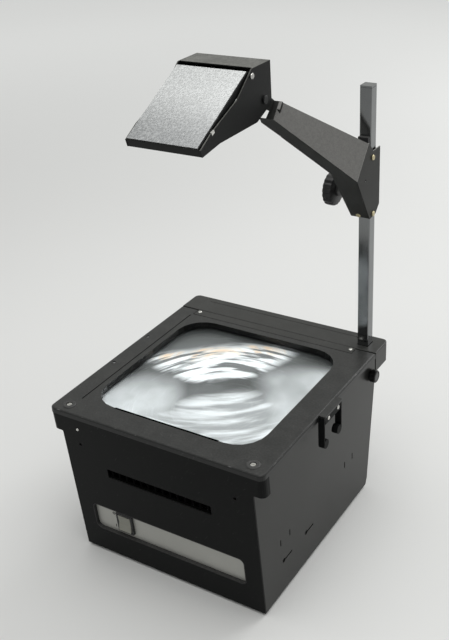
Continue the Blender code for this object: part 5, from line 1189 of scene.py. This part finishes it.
class PROJECTOR_OT_inside(FinishOperator):
    """Finish the lamp, reflector, condenser, fan and transformer, and add the lamp's filament"""
    bl_idname = "projector.inside"
    bl_label = "Lamp house"

    def execute(self, context):
        smoothed("reflector", "reflector")
        smoothed("lamp_socket", "ceramic")
        smoothed("lamp", "lens_glass")
        smoothed("condenser_lens", "lens_glass")
        dress("galvanised", "condenser_holder")
        dress("plastic", "fan_frame")
        smoothed("fan_impeller", "knob_plastic", 30)
        dress("iron", "transformer_core")
        dress("copper", "transformer_coil")
        self.add_filament()
        self.add_coil_tape()
        self.add_fan_screws()
        return {"FINISHED"}

    def add_filament(self):
        """Coiled wire inside the lamp, on two straight leads from the socket."""
        centre = (lamp_low + lamp_high) / 2
        low, middle = lamp_low.z + 0.0004, lamp_low.z + 0.018
        coils, points, span, coil = 8, 96, 0.0060, 0.0011
        path = []
        for step in range(points + 1):
            along = step / points
            angle = math.tau * coils * along
            path.append(Vector((centre.x + span * (along - 0.5), centre.y + coil * math.cos(angle),
                                middle + coil * math.sin(angle))))
        work = bmesh.new()
        tube(work, path, 0.00018, 6)
        for end in (path[0], path[-1]):
            lead = [Vector((end.x, end.y, low)), Vector((end.x, end.y, (low + middle) / 2)), end]
            tube(work, lead, 0.0003, 8)
        bmesh.ops.recalc_face_normals(work, faces=work.faces)
        as_piece("filament", as_mesh("filament", work), "frame", "filament", 40)

    def add_coil_tape(self):
        """Amber tape round the middle of the winding's front and rear."""
        low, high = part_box("transformer_coil")
        middle = (low.z + high.z) / 2
        left, right, bottom, top = low.x + 0.010, high.x - 0.010, middle - 0.009, middle + 0.009
        work = bmesh.new()
        for near, far in ((low.y - 0.0004, low.y + 0.0003), (high.y - 0.0003, high.y + 0.0004)):
            corners = [Vector((x, near, z)) for x, z in (
                (left, bottom), (right, bottom), (right, top), (left, top))]
            slab(work, corners, Vector((0, far - near, 0)))
        closed_piece("coil_tape", work, "frame", "insulation")

    def add_fan_screws(self):
        """Screw in each corner of the fan frame's front."""
        inset = 0.0055
        places = [(Vector((x, fan_low.y + SEAT, z)), Vector((0, -1, 0)))
                  for x in (fan_low.x + inset, fan_high.x - inset)
                  for z in (fan_low.z + inset, fan_high.z - inset)]
        screws("fan_screws", "frame", places, "zinc",
               radius=0.0028, height=0.0012, width=0.0007, seed=8)


class PROJECTOR_OT_studio(FinishOperator):
    """Lay the floor, hang the lamps, set the world and place the camera"""
    bl_idname = "projector.studio"
    bl_label = "Studio"

    def execute(self, context):
        studio = self.values("studio")
        self.add_floor(studio)
        self.add_world(studio)
        self.add_lamp("Overhead lamp", (0.15, -0.15, 2.3), (0, 0, 0.3), 2.4, studio.overhead_power,
                      (1.0, 1.0, 0.995))
        self.add_lamp("Rear lamp", (0.75, 2.3, 1.75), (0, 0, 0.25), 1.7, studio.rear_power,
                      (0.99, 0.995, 1.0))
        self.add_camera(studio)
        context.scene.view_settings.view_transform = "Standard"
        return {"FINISHED"}

    def add_floor(self, studio):
        """Wide plain floor that pales into the background with distance."""
        work = bmesh.new()
        rows = [[work.verts.new((x, y, 0.0)) for x in (-9.0, -3.0, 3.0, 9.0)] for y in (-6.0, 4.0, 9.0)]
        for near, far in zip(rows, rows[1:]):
            for index in range(3):
                work.faces.new((near[index], near[index + 1], far[index + 1], far[index]))
        mesh = as_mesh("studio_floor", work)
        finish = Finish("Pale floor", Specular_IOR_Level=0.15, Emission_Strength=1.0)
        w = finish.w
        drift = w.noise(finish.place, 1.3, 2.0)
        tone = w.blend(drift, shade(studio.floor, 0.97), studio.floor)
        across, along = w.parts(finish.place)[:2]
        seen = w.add("ShaderNodeLightPath").outputs["Is Camera Ray"]
        far = w.times(w.ramp(w.distance(across, along), 1.1, 3.6), seen)
        finish.set("Emission Color", w.blend(far, (0, 0, 0), (0.29, 0.295, 0.29)))
        finish.coat(tone, w.ramp(drift, 0.0, 1.0, 0.75, 0.85))
        mesh.materials.append(finish.material)
        floor = bpy.data.objects.new("studio_floor", mesh)
        bpy.context.scene.collection.objects.link(floor)

    def add_world(self, studio):
        """Pale background for the camera and for reflections, gentler light for everything else."""
        world = bpy.data.worlds.new("Studio")
        world.use_nodes = True
        world.node_tree.nodes.clear()
        w = Wiring(world.node_tree)
        path = w.add("ShaderNodeLightPath").outputs
        seen = w.math("MAXIMUM", path["Is Camera Ray"],
                      w.math("MAXIMUM", path["Is Glossy Ray"], path["Is Transmission Ray"]))
        colour = w.blend(seen, (1.0, 1.0, 1.0), studio.background)
        strength = w.ramp(seen, 0.0, 1.0, studio.world_strength, 1.0, False)
        sky = w.add("ShaderNodeBackground", {"Color": colour, "Strength": strength})
        w.add("ShaderNodeOutputWorld", {"Surface": sky.outputs[0]})
        bpy.context.scene.world = world

    def add_lamp(self, name, place, aim, size, power, colour):
        """Square soft lamp that looks at a point."""
        light = bpy.data.lights.new(name, "AREA")
        light.shape = "SQUARE"
        light.size = size
        light.energy = power
        light.color = colour
        lamp = bpy.data.objects.new(name, light)
        lamp.location = place
        lamp.rotation_euler = (Vector(aim) - Vector(place)).to_track_quat("-Z", "Y").to_euler()
        bpy.context.scene.collection.objects.link(lamp)

    def add_camera(self, studio):
        """Camera at the photograph's height, turn and roll."""
        camera = bpy.data.objects.new("Camera", bpy.data.cameras.new("Camera"))
        camera.location = studio.camera_place
        camera.rotation_euler = Euler(studio.camera_turn, "XYZ")
        camera.data.sensor_width = 36.0
        camera.data.lens = studio.camera_lens
        camera.data.shift_x = -0.001
        bpy.context.scene.collection.objects.link(camera)
        bpy.context.scene.camera = camera


steps = (
    PROJECTOR_OT_effects, PROJECTOR_OT_box, PROJECTOR_OT_rear_fold, PROJECTOR_OT_stage,
    PROJECTOR_OT_controls, PROJECTOR_OT_arm, PROJECTOR_OT_knobs, PROJECTOR_OT_head,
    PROJECTOR_OT_inside, PROJECTOR_OT_studio,
)


class PROJECTOR_PT_panel(bpy.types.Panel):
    """Sidebar panel with the steps and their settings."""
    bl_idname = "PROJECTOR_PT_panel"
    bl_label = "Overhead Projector"
    bl_space_type = "VIEW_3D"
    bl_region_type = "UI"
    bl_category = "Projector"

    def draw(self, context):
        for step in steps:
            self.layout.operator(step.bl_idname)
        for name in SETTINGS:
            settings = getattr(context.scene, "projector_" + name)
            box = self.layout.box()
            box.label(text=name.capitalize())
            for key in settings.__annotations__:
                box.prop(settings, key)


def register():
    for item in (*settings_classes, *steps, PROJECTOR_PT_panel):
        bpy.utils.register_class(item)
    for name, item in zip(SETTINGS, settings_classes):
        setattr(bpy.types.Scene, "projector_" + name, bpy.props.PointerProperty(type=item))


def unregister():
    for name in SETTINGS:
        delattr(bpy.types.Scene, "projector_" + name)
    for item in reversed((*settings_classes, *steps, PROJECTOR_PT_panel)):
        bpy.utils.unregister_class(item)


def main():
    register()
    screw_tree()
    for step in steps:
        group, name = step.bl_idname.split(".")
        getattr(getattr(bpy.ops, group), name)()


if __name__ == "__main__":
    main()
